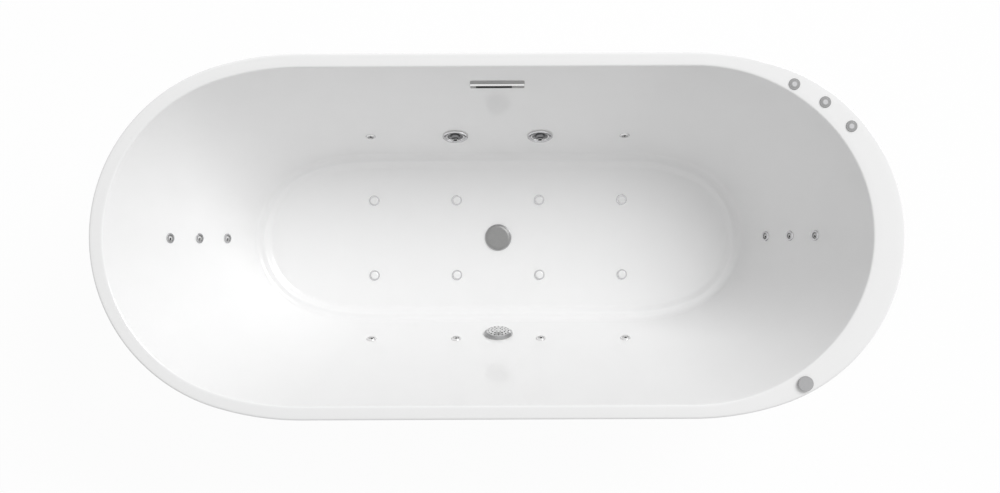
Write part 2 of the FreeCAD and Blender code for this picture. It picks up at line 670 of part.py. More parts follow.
def make_frame():
    board_foot = RAIL_TOP
    board = box("board_blank", ("-board_half_length", "-board_half_width", board_foot),
                ("2 * board_half_length", "2 * board_half_width", "board_thickness"))
    low, high = value(RAIL_TOP), value(FLOOR_UNDERSIDE)
    bolt_top = low + d.bolt_bite
    gap = d.fastener_gap
    holes = [upright([(f.Base.x, f.Base.y) for f in AIR_JETS], d.board_hole, low, high),
             upright([(X0, 0)], d.seal_radius + d.board_thickness / 4, low, high),
             upright(CROSSINGS, d.bolt_radius + gap, low, bolt_top + gap)]
    keep(cut("base_board", board, made("board_holes", Part.makeCompound(holes))), "base_board")

    bolt_holes = upright(CROSSINGS, d.bolt_radius + gap, value(BAR_FOOT) - 1, low)
    stud_holes = upright(FEET, d.stud_radius + gap, value(BAR_FOOT) - 1, value(RAIL_FOOT) + 1)
    rail = square_tube("rail", "rail_half_length", True)
    rails = copies(rail, [at(0, s * d.rail_spread, value(RAIL_FOOT)) for s in (-1, 1)])
    keep(cut("frame_rails", made("rail_pair", rails), made("rail_holes", bolt_holes)),
         "frame_rails")
    bar = square_tube("cross_bar", "cross_bar_half_length", False)
    bars = copies(bar, [at(x, 0, value(BAR_FOOT)) for x in BAR_PLACES])
    keep(cut("frame_cross_bars", made("bar_set", bars), made("bar_holes", bolt_holes),
             made("stud_holes", stud_holes)), "frame_cross_bars")

    bolt = turned("bolt", [
        ("0", "-bolt_head_height"), ("bolt_head_radius", "-bolt_head_height"),
        ("bolt_head_radius", "0"), ("bolt_radius", "0"),
        ("bolt_radius", "2 * bar_size + bolt_bite"), ("0", "2 * bar_size + bolt_bite")])
    spots = [at(x, y, value(BAR_FOOT)) for x, y in CROSSINGS]
    keep(made("frame_bolts", copies(bolt, spots)), "frame_bolts")

    socket_floor = "(pad_height - pad_socket)"
    stud = turned("stud", [
        ("0", socket_floor), ("stud_radius - 1", socket_floor),
        ("stud_radius", socket_floor + " + 1"), ("stud_radius", "stud_top - 1"),
        ("stud_radius - 1", "stud_top"), ("0", "stud_top")])
    feet = [at(x, y, 0) for x, y in FEET]
    keep(made("foot_studs", copies(stud, feet)), "foot_studs")
    pad_body = turned("pad", [
        ("0", "0"), ("pad_radius", "0"), ("pad_radius", "pad_height / 3"),
        ("stud_radius + 5", "pad_height"), ("stud_radius + fastener_gap", "pad_height"),
        ("stud_radius + fastener_gap", socket_floor), ("0", socket_floor)])
    keep(made("foot_pads", copies(pad_body, feet)), "foot_pads")

    nut = doc.addObject("Part::Prism", "nut_blank")
    bind(nut, Circumradius="nut_flats / 2 / cos(30)", Height="nut_height")
    bore = cylinder("nut_bore", "stud_radius + fastener_gap / 2", "nut_height",
                    ("0", "0", "0"))
    nut = cut("nut", nut, bore)
    levels = (value(BAR_FOOT) - d.nut_height, value(RAIL_FOOT))
    spots = [at(x, y, z) for x, y in FEET for z in levels]
    keep(made("foot_nuts", copies(nut, spots)), "foot_nuts")


def make_trays():
    """Sheet trays that hang from the end cross bars and carry the machines."""
    face = "(cross_bar_outer + bar_size / 2)"
    height = "(%s - tray_height)" % RAIL_FOOT
    deck = box("tray_deck", (face, "-tray_half_width", "tray_height"),
               ("tray_reach", "2 * tray_half_width", "tray_sheet"))
    flange = box("tray_flange", (face, "-tray_half_width", "tray_height"),
                 ("tray_sheet", "2 * tray_half_width", height))
    lip = box("tray_lip", ("%s + tray_reach - tray_sheet" % face, "-tray_half_width + 20",
                           "tray_height"),
              ("tray_sheet", "2 * tray_half_width - 40", "3 * tray_sheet"))
    tray = fuse("tray", deck, flange, lip)
    pair = copies(tray, [Placement(), Placement(Vector(), Rotation(UP, 180))])
    gland = Part.makeCylinder(d.gland_radius + d.seat_gap, 20,
                              Vector(d.box_centre_x, d.box_centre_y, d.tray_height - 10))
    keep(cut("machine_trays", made("tray_pair", pair), made("gland_hole", gland)),
         "machine_trays")


# ---------------------------------------------------------------- waste and overflow

def make_waste():
    radius, wall = "waste_radius", "waste_wall"
    inner = "waste_radius - waste_wall"
    rim_ring = turned("waste_ring", [
        (inner, "-waste_sleeve"), (radius, "-waste_sleeve"), (radius, "0"),
        ("waste_flange", "0"), ("waste_flange", "waste_flange_height / 2"),
        ("waste_flange - 2", "waste_flange_height"), (radius, "waste_flange_height"),
        (inner, "waste_flange_height - 1")])
    web = ("2 * waste_radius - waste_wall", "waste_web", "waste_web")
    web_foot = "-3 * waste_web"
    bar_x = box("waste_bar_x", ("-waste_radius + waste_wall / 2", "-waste_web / 2", web_foot),
                web)
    bar_y = box("waste_bar_y", ("-waste_web / 2", "-waste_radius + waste_wall / 2", web_foot),
                (web[1], web[0], web[2]))
    boss = cylinder("waste_boss", "plug_stem + waste_wall", "2 * waste_web",
                    ("0", "0", "-3.5 * waste_web"))
    bore = cylinder("waste_bore", "plug_stem + slide_gap", "4 * waste_web",
                    ("0", "0", "-4 * waste_web"))
    flange = cut("drain_flange", fuse("waste_spider", rim_ring, bar_x, bar_y, boss), bore)
    flange.Placement = DRAIN
    keep(flange, "drain_flange")

    seat = "(waste_flange_height + seat_gap)"
    cap = turned("drain_cap", [
        ("0", "plug_height"), ("plug_radius * 0.8", "plug_height"),
        ("plug_radius - 1", "plug_height - 1"), ("plug_radius", "plug_height - 2"),
        ("plug_radius", seat), ("plug_stem", seat), ("plug_stem", "-plug_stem_length"),
        ("0", "-plug_stem_length")])
    cap.Placement = DRAIN
    keep(cap, "drain_cap")

    underside = "-shell_wall"
    seal = ring("drain_seal", "waste_radius + waste_gap", "seal_radius",
                "%s - seal_height" % underside, underside)
    seal.Placement = DRAIN
    keep(seal, "drain_seal")

    flange_top = "(%s - seal_height)" % FLOOR_UNDERSIDE
    sleeve_gap = "waste_radius + seat_gap"
    shoe = turned("shoe_tube", [
        (sleeve_gap, flange_top), ("seal_radius", flange_top),
        ("seal_radius", flange_top + " - 5"), ("shoe_radius", flange_top + " - 5"),
        ("shoe_radius", "shoe_bottom"), (sleeve_gap, "shoe_bottom")])
    spigot = cylinder("shoe_spigot", "overflow_hose_radius", "shoe_spigot_reach",
                      ("0", "0", "shoe_spigot_height"), Vector(0, 1, 0))
    throat = cylinder("shoe_throat", "overflow_hose_radius - hose_wall",
                      "shoe_spigot_reach + 1", ("0", "0", "shoe_spigot_height"),
                      Vector(0, 1, 0))
    inside = cylinder("shoe_inside", sleeve_gap, "%s - shoe_bottom" % flange_top,
                      ("0", "0", "shoe_bottom"))
    shoe = cut("drain_body", fuse("shoe_solid", shoe, spigot), throat, inside)
    shoe.Placement = at(X0, 0, 0)
    keep(shoe, "drain_body")

    centre = Vector(X0, 0, 0)
    reach, bend, level = d.trap_outlet_reach, d.trap_bend, d.trap_outlet_height
    runs = [Part.LineSegment(centre + Vector(0, -d.trap_radius / 2, level),
                             centre + Vector(0, -reach, level)).toShape(),
            Part.Arc(centre + Vector(0, -reach, level),
                     centre + Vector(0, -reach - bend * math.sin(math.pi / 4),
                                     level - bend * (1 - math.cos(math.pi / 4))),
                     centre + Vector(0, -reach - bend, level - bend)).toShape(),
            Part.LineSegment(centre + Vector(0, -reach - bend, level - bend),
                             centre + Vector(0, -reach - bend, d.outlet_end)).toShape()]
    path = Part.Wire(runs)
    cup_height = d.shoe_bottom - d.trap_bottom
    wall = d.moulding_wall
    cup = Part.makeCylinder(d.trap_radius, cup_height, centre + UP * d.trap_bottom)
    space = Part.makeCylinder(d.trap_radius - wall, cup_height - 2 * wall,
                              centre + UP * (d.trap_bottom + wall))
    mouth = Part.makeCylinder(d.waste_radius, cup_height / 2,
                              centre + UP * (d.shoe_bottom - cup_height / 2))
    outer, inner = rod(path, d.trap_outlet_radius), rod(path, d.trap_outlet_radius - wall)
    shape = cup.fuse(outer).cut(Part.makeCompound([space, inner]).fuse(mouth))
    keep(made("trap", shape.removeSplitter()), "trap")


def make_overflow():
    """Slotted trim under a hood on the wall, its box behind the shell and its hose."""
    half = "overflow_width / 2"
    plate = box("overflow_back", ("-" + half, "-overflow_plate / 2", "0"),
                ("overflow_width", "overflow_plate", "overflow_sheet"))
    hood = box("overflow_lip", ("-" + half, "overflow_plate / 2 - 2 * overflow_sheet", "0"),
               ("overflow_width", "2 * overflow_sheet", "overflow_hood"))
    slot = box("overflow_slot", ("-slot_width / 2", "-slot_height / 2", "-1"),
               ("slot_width", "slot_height", "overflow_sheet + 2"))
    trim = cut("overflow_trim", fuse("overflow_front", plate, hood), slot)
    trim.Placement = OVERFLOW
    keep(trim, "overflow_trim")

    back = "-shell_wall"
    outer = box("overflow_chamber", ("-overflow_box_width / 2", "-overflow_box_height / 2",
                                     "%s - overflow_box_depth" % back),
                ("overflow_box_width", "overflow_box_height", "overflow_box_depth"))
    inner = box("overflow_space", ("-overflow_box_width / 2 + moulding_wall",
                                   "-overflow_box_height / 2 + moulding_wall",
                                   "%s - overflow_box_depth + moulding_wall" % back),
                ("overflow_box_width - 2 * moulding_wall",
                 "overflow_box_height - 2 * moulding_wall", "overflow_box_depth"))
    throat = cylinder("overflow_throat", "overflow_hose_radius - hose_wall",
                      "overflow_box_height",
                      ("0", "0", "-overflow_hose_distance"), Vector(0, -1, 0))
    chamber = cut("overflow_body", outer, inner, throat)
    chamber.Placement = OVERFLOW
    keep(chamber, "overflow_body")

    start = spot_of(OVERFLOW, 0, -d.overflow_box_height / 2, -d.overflow_hose_distance)
    wall_down = OVERFLOW.Rotation.multVec(Vector(0, -1, 0))
    run = (start.z - value(LEDGE_HEIGHT) - 2 * d.overflow_hose_radius) / -wall_down.z
    bottom = start + wall_down * run
    spigot = Vector(X0, d.shoe_spigot_reach, d.shoe_spigot_height)
    corner = Vector(X0, bottom.y - 2.8 * d.overflow_hose_radius, d.shoe_spigot_height)
    middle = (start + bottom) * 0.5
    shape = hose("overflow hose", [start, bottom, corner, spigot], d.overflow_hose_radius,
                 d.overflow_hose_radius - d.hose_wall)
    keep(made("overflow_hose", shape), "overflow_hose")
    return middle


# ---------------------------------------------------------------- wall jets

def nipple(frame, distance, towards):
    """Round stub from a jet's axis to the air pipe."""
    start = spot_of(frame, 0, 0, -distance)
    return straight(start, towards(start), d.nipple_radius)


def to_air_pipe(start):
    return Vector(start.x, start.y, AIR_HEIGHT - d.air_pipe_radius + d.bite)


def to_air_riser(start):
    return start + Vector(0, d.air_riser_offset - d.air_riser_radius + d.bite, 0)


def make_wall_jets():
    end = "-(main_distance - main_radius + bite)"
    back_end = "-(main_distance - riser_radius + bite)"
    face = "jet_face_radius + slide_gap"
    jet = turned("jet_cup", [
        ("jet_bore * 2", end), ("jet_barrel", end), ("jet_barrel", "-jet_cup_depth"),
        ("jet_cup_radius", "-jet_cup_depth"), ("jet_cup_radius", "0"), ("jet_flange", "0"),
        ("jet_flange", "flange_height"), (face, "flange_height"), (face, "-jet_face_depth"),
        (face + " - 2", "-jet_face_depth"), (face + " - 2", "moulding_wall - jet_cup_depth"),
        ("jet_bore * 2", "moulding_wall - jet_cup_depth")])
    nozzle_gap = "micro_nozzle + slide_gap"

    def micro(name, foot):
        return turned(name, [
            ("micro_bore", foot), ("micro_barrel", foot), ("micro_barrel", "0"),
            ("micro_flange - 0.5", "0"), ("micro_flange - 0.5", "flange_height / 2"),
            (nozzle_gap, "flange_height / 2"), (nozzle_gap, "-micro_nozzle_depth"),
            ("micro_bore", "-micro_nozzle_depth")])

    side_master, back_master = micro("side_jet_cup", end), micro("back_jet_cup", back_end)
    groups = ((jet, BIG_JETS.values(), d.air_distance, to_air_pipe, "jet_bodies"),
              (side_master, SIDE_JETS, d.air_distance, to_air_pipe, None),
              (back_master, BACK_JETS.values(), d.air_riser_distance, to_air_riser, None))
    micro_shapes, big_shapes = [], []
    for master, frames, distance, towards, label in groups:
        for frame in frames:
            stub = nipple(frame, distance, towards)
            shape = copies(master, [frame]).Solids[0]
            inside = d.jet_cup_radius if label else d.micro_barrel
            clear = Part.makeCylinder(inside - 1.5, d.main_distance)
            clear.Placement = frame.multiply(at(0, 0, -d.main_distance))
            shape = shape.fuse(stub.cut(clear)).removeSplitter()
            (big_shapes if label else micro_shapes).append(shape.Solids[0])
    keep(made("jet_bodies", Part.makeCompound(big_shapes)), "jet_bodies")
    keep(made("micro_jet_bodies", Part.makeCompound(micro_shapes)), "micro_jet_bodies")

    trim = turned("jet_trim", [
        ("jet_face_radius + seat_gap", "flange_height"),
        ("jet_flange + 0.5", "flange_height"), ("jet_flange + 0.5", "flange_height + 1"),
        ("jet_flange - 2", "jet_trim_height"), ("jet_face_radius + 2", "jet_trim_height"),
        ("jet_face_radius + seat_gap", "jet_trim_height - 1")])
    keep(made("jet_flanges", copies(trim, BIG_JETS.values())), "jet_flanges")
    all_micro = SIDE_JETS + list(BACK_JETS.values())
    micro_trim = turned("micro_trim", [
        ("micro_nozzle + seat_gap", "flange_height / 2"), ("micro_flange", "flange_height / 2"),
        ("micro_flange - 1", "micro_trim_height"),
        ("micro_nozzle + seat_gap", "micro_trim_height")])
    keep(made("micro_jet_rings", copies(micro_trim, all_micro)), "micro_jet_rings")

    nozzle = turned("micro_eye", [
        ("0", "seat_gap - micro_nozzle_depth"), ("micro_nozzle", "seat_gap - micro_nozzle_depth"),
        ("micro_nozzle", "micro_nozzle_front - 1"), ("micro_nozzle - 1.5", "micro_nozzle_front"),
        ("0", "micro_nozzle_front + 0.8")])
    outlet = cylinder("micro_eye_outlet", "micro_outlet",
                      "micro_nozzle_depth + micro_nozzle_front + 4",
                      ("0", "-micro_outlet_offset", "-micro_nozzle_depth - 2"))
    eye = cut("micro_nozzle", nozzle, outlet)
    keep(made("side_jet_nozzles", copies(eye, SIDE_JETS)), "side_jet_nozzles")
    for place, frame in BACK_JETS.items():
        label = "back_jet_" + place
        keep(made(label, copies(eye, [frame]).Solids[0]), label)

    face_plate = turned("jet_dish", [
        ("jet_ball + slide_gap", "seat_gap - jet_face_depth"),
        ("jet_face_radius", "seat_gap - jet_face_depth"),
        ("jet_face_radius", "jet_face_front"), ("jet_face_radius - 2", "jet_face_front"),
        ("jet_ball + 3", "0"), ("jet_ball + slide_gap", "0")])
    ball = doc.addObject("Part::Sphere", "jet_ball_solid")
    bind(ball, Radius="jet_ball", Placement__Base__z="jet_ball_centre")
    ball.Angle1, ball.Angle2 = -45, 45
    bore = cylinder("jet_ball_bore", "jet_bore", "3 * jet_ball",
                    ("0", "0", "-1.5 * jet_ball"))
    spout = ring("jet_spout", "jet_bore", "jet_bore + 2", "jet_ball_centre",
                 "jet_ball_centre + jet_ball")
    swivel = fuse("jet_swivel", cut("jet_ball_ring", ball, bore), spout)
    for place, frame in BIG_JETS.items():
        keep(made("jet_face_" + place, copies(face_plate, [frame]).Solids[0]),
             "jet_face_" + place)
        keep(made("jet_nozzle_" + place, copies(swivel, [frame]).Solids[0]),
             "jet_nozzle_" + place)


def make_wall_nuts():
    """Ring nuts that clamp the fittings from behind the shell."""
    def nut(name, radius):
        return ring(name, radius + " + seat_gap", radius + " + wall_nut_border",
                    "-shell_wall - wall_nut_height", "-shell_wall")

    micro, big = nut("micro_nut", "micro_barrel"), nut("jet_nut", "jet_cup_radius")
    intake, air = nut("suction_nut", "suction_barrel"), nut("air_jet_nut", "air_jet_barrel")
    sunk = [frame.multiply(at(0, 0, -d.seat_gap)) for frame in BACK_JETS.values()]
    solids = copies(micro, SIDE_JETS + sunk).Solids + copies(big, BIG_JETS.values()).Solids
    solids += copies(intake, [SUCTION]).Solids + copies(air, AIR_JETS).Solids
    keep(made("wall_nuts", Part.makeCompound(solids)), "wall_nuts")


def make_suction():
    end = "-suction_barrel_depth"
    bore = "suction_pipe_radius - pipe_wall"
    shape = turned("suction_body", [
        (bore, end), ("suction_pipe_radius", end), ("suction_barrel", end + " / 2"),
        ("suction_barrel", "0"), ("suction_flange", "0"), ("suction_flange", "flange_height"),
        ("suction_barrel - 3", "flange_height"), ("suction_barrel - 3", end + " / 2"),
        (bore, end + " / 2 - 6")])
    shape.Placement = SUCTION
    keep(shape, "suction_body")

    cover = turned("suction_cover", [
        ("suction_cover_radius", "flange_height"), ("suction_cover_radius", "5"),
        ("suction_cover_radius * 0.8", "suction_cover_height - 2.5"),
        ("suction_cover_radius * 0.4", "suction_cover_height"), ("0", "suction_cover_height"),
        ("0", "suction_cover_height - 2.5"),
        ("suction_cover_radius * 0.36", "suction_cover_height - 2.5"),
        ("suction_cover_radius * 0.76", "suction_cover_height - 5"),
        ("suction_cover_radius - 2.5", "4"), ("suction_cover_radius - 2.5", "flange_height")])
    for number, (share, count) in enumerate(((0.26, 6), (0.5, 12), (0.72, 16)), 1):
        sketch = new_sketch(cover, "cover_hole_%d" % number)
        sketch.addGeometry(Part.Circle(Vector(share * d.suction_cover_radius, 0, 0), UP,
                                       d.suction_hole), False)
        drive(sketch, "suction_hole", "Radius", 0)
        drive(sketch, "suction_cover_radius * %g" % share, "DistanceX", -1, 1, 0, 3)
        sketch.addConstraint(Sketcher.Constraint("PointOnObject", 0, 3, -1))
        drilled = pad(cover, "cover_drill_%d" % number, sketch, "suction_cover_height + 1",
                      "Pocket", True)
        pattern = cover.newObject("PartDesign::PolarPattern", "cover_ring_%d" % number)
        pattern.Originals = [drilled]
        pattern.Axis = (sketch, ["N_Axis"])
        pattern.Angle = 360
        pattern.Occurrences = count
        cover.Tip = pattern
        doc.recompute([cover])
    cover.Placement = SUCTION
    keep(cover, "suction_cover")


def make_floor_jets():
    end = "-(floor_height - manifold_height - manifold_radius + bite)"
    stem = turned("air_jet_stem", [
        ("air_jet_bore", end), ("air_jet_barrel", end), ("air_jet_barrel", "0"),
        ("air_jet_radius", "0"), ("air_jet_radius", "1"), ("air_jet_bore", "1")])
    band = turned("air_jet_band", [
        ("air_jet_cap + seat_gap", "1"), ("air_jet_radius", "1"),
        ("air_jet_radius", "air_jet_height - 0.6"), ("air_jet_radius - 0.6", "air_jet_height"),
        ("air_jet_cap + seat_gap", "air_jet_height")])
    cap = turned("air_jet_lid", [
        ("0", "1 - air_jet_bore"), ("air_jet_bore - seat_gap", "1 - air_jet_bore"),
        ("air_jet_bore - seat_gap", "1"), ("air_jet_cap", "1"),
        ("air_jet_cap", "air_jet_height"), ("air_jet_cap - 2", "air_jet_height + 0.8"),
        ("0", "air_jet_height + 0.8")])
    keep(made("air_jet_bodies", copies(stem, AIR_JETS)), "air_jet_bodies")
    keep(made("air_jet_rings", copies(band, AIR_JETS)), "air_jet_rings")
    keep(made("air_jet_caps", copies(cap, AIR_JETS)), "air_jet_caps")


# ---------------------------------------------------------------- deck fittings

def make_deck_fittings():
    bore = "button_radius + slide_gap"
    bezel = turned("bezel", [
        (bore, "button_stand - 1"), ("button_bezel - 1.5", "button_stand - 1"),
        ("button_bezel", "1.2"), ("button_bezel", "0"), ("button_body", "0"),
        ("button_body", "-button_depth"), ("tube_radius + 1", "-button_depth"),
        ("tube_radius + 1", "-button_depth - 8"), ("tube_bore", "-button_depth - 8"),
        ("tube_bore", "moulding_wall - button_depth"), (bore, "moulding_wall - button_depth")])
    keep(made("button_bezels", copies(bezel, BUTTONS.values())), "button_bezels")
    button = turned("push_button", [
        ("0", "-3 * button_travel"), ("button_radius", "-3 * button_travel"),
        ("button_radius", "button_stand - 0.6"), ("button_radius - 1", "button_stand"),
        ("0", "button_stand")])
    for place, frame in BUTTONS.items():
        keep(made("button_" + place, copies(button, [frame]).Solids[0]), "button_" + place)

    low, high = "-shell_wall - wall_nut_height", "-shell_wall"
    button_nut = ring("button_nut", "button_body + seat_gap", "button_body + 4", low, high)
    control_nut = ring("air_control_nut", "air_control_body + seat_gap",
                       "air_control_body + 2.5", low, high)
    solids = copies(button_nut, BUTTONS.values()).Solids + copies(control_nut,
                                                                 [AIR_CONTROL]).Solids
    keep(made("deck_nuts", Part.makeCompound(solids)), "deck_nuts")

    stem_bore = "knob_stem + slide_gap"
    control = turned("air_control_body", [
        (stem_bore, "flange_height"), ("knob_radius - 2", "flange_height"),
        ("knob_radius - 2", "0"), ("air_control_body", "0"),
        ("air_control_body", "-air_control_depth"), ("tube_radius * 2", "-air_control_depth"),
        ("tube_radius * 2", "moulding_wall - air_control_depth"),
        (stem_bore, "moulding_wall - air_control_depth")])
    control.Placement = AIR_CONTROL
    keep(control, "air_control_body")
    foot = "(flange_height + seat_gap)"
    knob = turned("air_knob", [
        ("0", "knob_height"), ("knob_radius - 1.5", "knob_height"),
        ("knob_radius", "knob_height - 1.5"), ("knob_radius", foot), ("knob_stem", foot),
        ("knob_stem", "-air_control_depth / 2"), ("0", "-air_control_depth / 2")])
    knob.Placement = AIR_CONTROL
    keep(knob, "air_knob")


# ---------------------------------------------------------------- water and air pipes

def riser_ends(side, distance, offset, extra):
    """Ends of a pipe that runs behind one column of back jets."""
    column = [frame for place, frame in BACK_JETS.items() if place.startswith(side)]
    top = spot_of(column[0], 0, 0, -distance) + Vector(0, offset, 0)
    low = spot_of(column[-1], 0, 0, -distance) + Vector(0, offset, 0)
    along = (top - low).normalize()
    return low - along * extra, top + along * extra


def pump_port():
    """Foot of the pressure riser, straight under the main where it passes the pump."""
    centre = MAIN.right - MAIN.right_end
    y = d.pump_front + d.volute_length / 2
    x = centre + math.sqrt(MAIN.right_end ** 2 - y ** 2)
    return Vector(x, y, d.pump_height + d.volute_radius + d.port_radius / 2)


def make_water_main():
    """Pressure pipe behind the side jets, with a riser at each end and one from the pump."""
    fittings = doc.getObject("micro_jet_bodies").Shape.Solids
    fittings = fittings + doc.getObject("jet_bodies").Shape.Solids
    layers = []
    for wall in (0, d.pipe_wall):
        solid = open_ring(MAIN, MAIN_HEIGHT, "near", X0 + d.main_gap + wall,
                          X0 - d.main_gap - wall, d.main_radius - wall)
        for side in ("left", "right"):
            ends = riser_ends(side, d.main_distance, 0, 2 * d.riser_radius - wall)
            solid = solid.fuse(straight(ends[0], ends[1], d.riser_radius - wall))
        port = pump_port()
        joint = Vector(port.x, port.y, MAIN_HEIGHT)
        solid = solid.fuse(straight(port, joint, d.port_radius - wall))
        layers.append(solid)
    pipe = layers[0].cut(layers[1])
    solid_cups = [cup.copy() for cup in fittings]
    for frames, radius, reach in ((SIDE_JETS, d.micro_barrel, d.main_radius),
                                  (BACK_JETS.values(), d.micro_barrel, d.riser_radius),
                                  (BIG_JETS.values(), d.jet_barrel, d.main_radius)):
        for frame in frames:
            length = d.main_distance - reach + d.bite
            core = Part.makeCylinder(radius, length)
            core.Placement = frame.multiply(at(0, 0, -length))
            solid_cups.append(core)
    pipe = pipe.cut(Part.makeCompound(solid_cups[len(fittings):]))
    keep(made("water_main", pipe), "water_main")


def make_air_pipe():
    """Air pipe above the main, with a riser at each end and a line from the air control."""
    height = AIR_HEIGHT
    half_width = -spot_of(SIDE_JETS[-1], 0, 0, -d.air_distance).y
    outside = wall_outline(height, d.main_distance + d.riser_radius + d.air_pipe_radius
                           + d.air_pipe_gap)
    shoulder, end = half_width + d.air_pipe_shoulder, half_width - d.air_pipe_flat
    outline = Outline(outside.left, outside.right, half_width, shoulder, end, shoulder, end)
    turn = math.radians(60)
    centre = outline.right - outline.right_end
    joint = Vector(centre + outline.right_end * math.cos(turn),
                   -outline.right_end * math.sin(turn), height)
    control = AIR_CONTROL.Base - UP * (d.air_control_depth)
    fall = control.z - height
    route = [control, control - UP * fall * 0.25, (control + joint) * 0.5 + UP * fall * 0.02,
             joint + UP * fall * 0.25, joint]
    path, least = rounded_path(route)
    print("air line: length %.0f, tightest bend %.0f" % (path.Length, least))
    layers = []
    for wall in (0, 2):
        solid = open_ring(outline, height, "far", X0 + d.air_gap + wall,
                          X0 - d.air_gap - wall, d.air_pipe_radius - wall)
        for side in ("left", "right"):
            low, top = riser_ends(side, d.air_riser_distance, d.air_riser_offset,
                                  d.air_riser_radius - wall)
            solid = solid.fuse(straight(low, top, d.air_riser_radius - wall))
            x = outline.right if side == "right" else -outline.left
            share = (height - low.z) / (top.z - low.z)
            start = low + (top - low) * share
            solid = solid.fuse(straight(start, Vector(x, start.y, height),
                                        d.air_riser_radius - wall))
        solid = solid.fuse(rod(path, d.air_riser_radius - wall))
        layers.append(solid)
    pipe = layers[0].cut(layers[1])
    stubs = [nipple(frame, d.air_distance, to_air_pipe)
             for frame in SIDE_JETS + list(BIG_JETS.values())]
    stubs += [nipple(frame, d.air_riser_distance, to_air_riser)
              for frame in BACK_JETS.values()]
    keep(made("air_pipe", pipe.cut(Part.makeCompound(stubs))), "air_pipe")


def make_suction_pipe():
    start = spot_of(SUCTION, 0, 0, -d.suction_barrel_depth)
    out = SUCTION.Rotation.multVec(Vector(0, 0, -1))
    radius = d.suction_pipe_radius
    inlet = Vector(d.pump_x, d.pump_front - d.inlet_reach, d.pump_height)
    bar_end = d.cross_bar_half_length
    route = [start, start + out * 2.2 * radius,
             Vector(d.cross_bar_outer - 2.5 * radius, -bar_end - 2 * radius,
                    d.pump_height + 3 * radius),
             Vector(d.pump_x, inlet.y - 3.8 * radius, d.pump_height), inlet]
    keep(made("suction_pipe", hose("suction pipe", route, radius, radius - d.pipe_wall)),
         "suction_pipe")


def make_manifold():
    """Air channels under the floor, joined at one end and fed from the blower."""
    xs = sorted(frame.Base.x for frame in AIR_JETS)
    left, right = xs[0] - 60, xs[-1] + 25
    z, y = d.manifold_height, d.air_jet_spread
    inlet = Vector(-d.cross_bar_outer - 2 * d.bar_size, y, z)
    layers = []
    for wall in (0, 2):
        radius = d.manifold_radius - wall
        solid = straight(Vector(left, -y - wall, z), Vector(left, y + wall, z), radius)
        for start in (Vector(left - radius, -y, z), inlet):
            solid = solid.fuse(straight(start, Vector(right - wall, start.y, z), radius))
        layers.append(solid)
    pipe = layers[0].cut(layers[1])
    stems = upright([(f.Base.x, f.Base.y) for f in AIR_JETS], d.air_jet_barrel,
                    z + d.manifold_radius - d.bite, z + 2 * d.manifold_radius)
    keep(made("air_manifold", pipe.cut(stems)), "air_manifold")
    return inlet


def make_blower_hose(inlet):
    """Air hose that rises in a loop beside the basin, so water can't run back."""
    radius = d.blower_hose_radius
    outlet = Vector(d.outlet_x, d.scroll_radius + radius, d.tray_height + d.tray_sheet
                    + d.scroll_height / 2)
    top = d.bath_height - d.loop_depth
    beside = wall_outline(top, d.shell_wall + radius)
    rise, fall = (Vector(x, half_width_at(beside, x) + d.loop_gap, top)
                  for x in (d.outlet_x + 50, d.blower_x - 20))
    route = [outlet, outlet + Vector(0, 175, 0), rise + Vector(-15, -12, 230 - top), rise,
             fall, fall + Vector(-8, -7, 190 - top),
             Vector(d.blower_x - 35, inlet.y, inlet.z), inlet]
    shape = hose("blower hose", route, radius, radius - d.hose_wall)
    keep(made("blower_hose", shape), "blower_hose")


def make_pneumatic_tubes():
    """Thin air lines from the push buttons to the control box."""
    tubes = []
    lid = d.tray_height + d.tray_sheet + d.box_height + d.lid_height
    for number, frame in enumerate(BUTTONS.values()):
        start = frame.Base - UP * (d.button_depth + 8)
        end = Vector(d.box_centre_x + 15 * (1 - number), d.box_centre_y, lid)
        plan = start - end
        plan.z = 0
        route = [start, start - UP * 50]
        for share, height in ((0.92, 0.66), (0.56, 0.22)):
            route.append(end + plan * share + UP * (start.z - lid) * height)
        route += [end + plan * 0.1 + UP * 38, end]
        tubes.append(hose("pneumatic tube %d" % (number + 1), route, d.tube_radius,
                          d.tube_bore))
    keep(made("pneumatic_tubes", Part.makeCompound(tubes)), "pneumatic_tubes")


# ---------------------------------------------------------------- pump, blower, control box

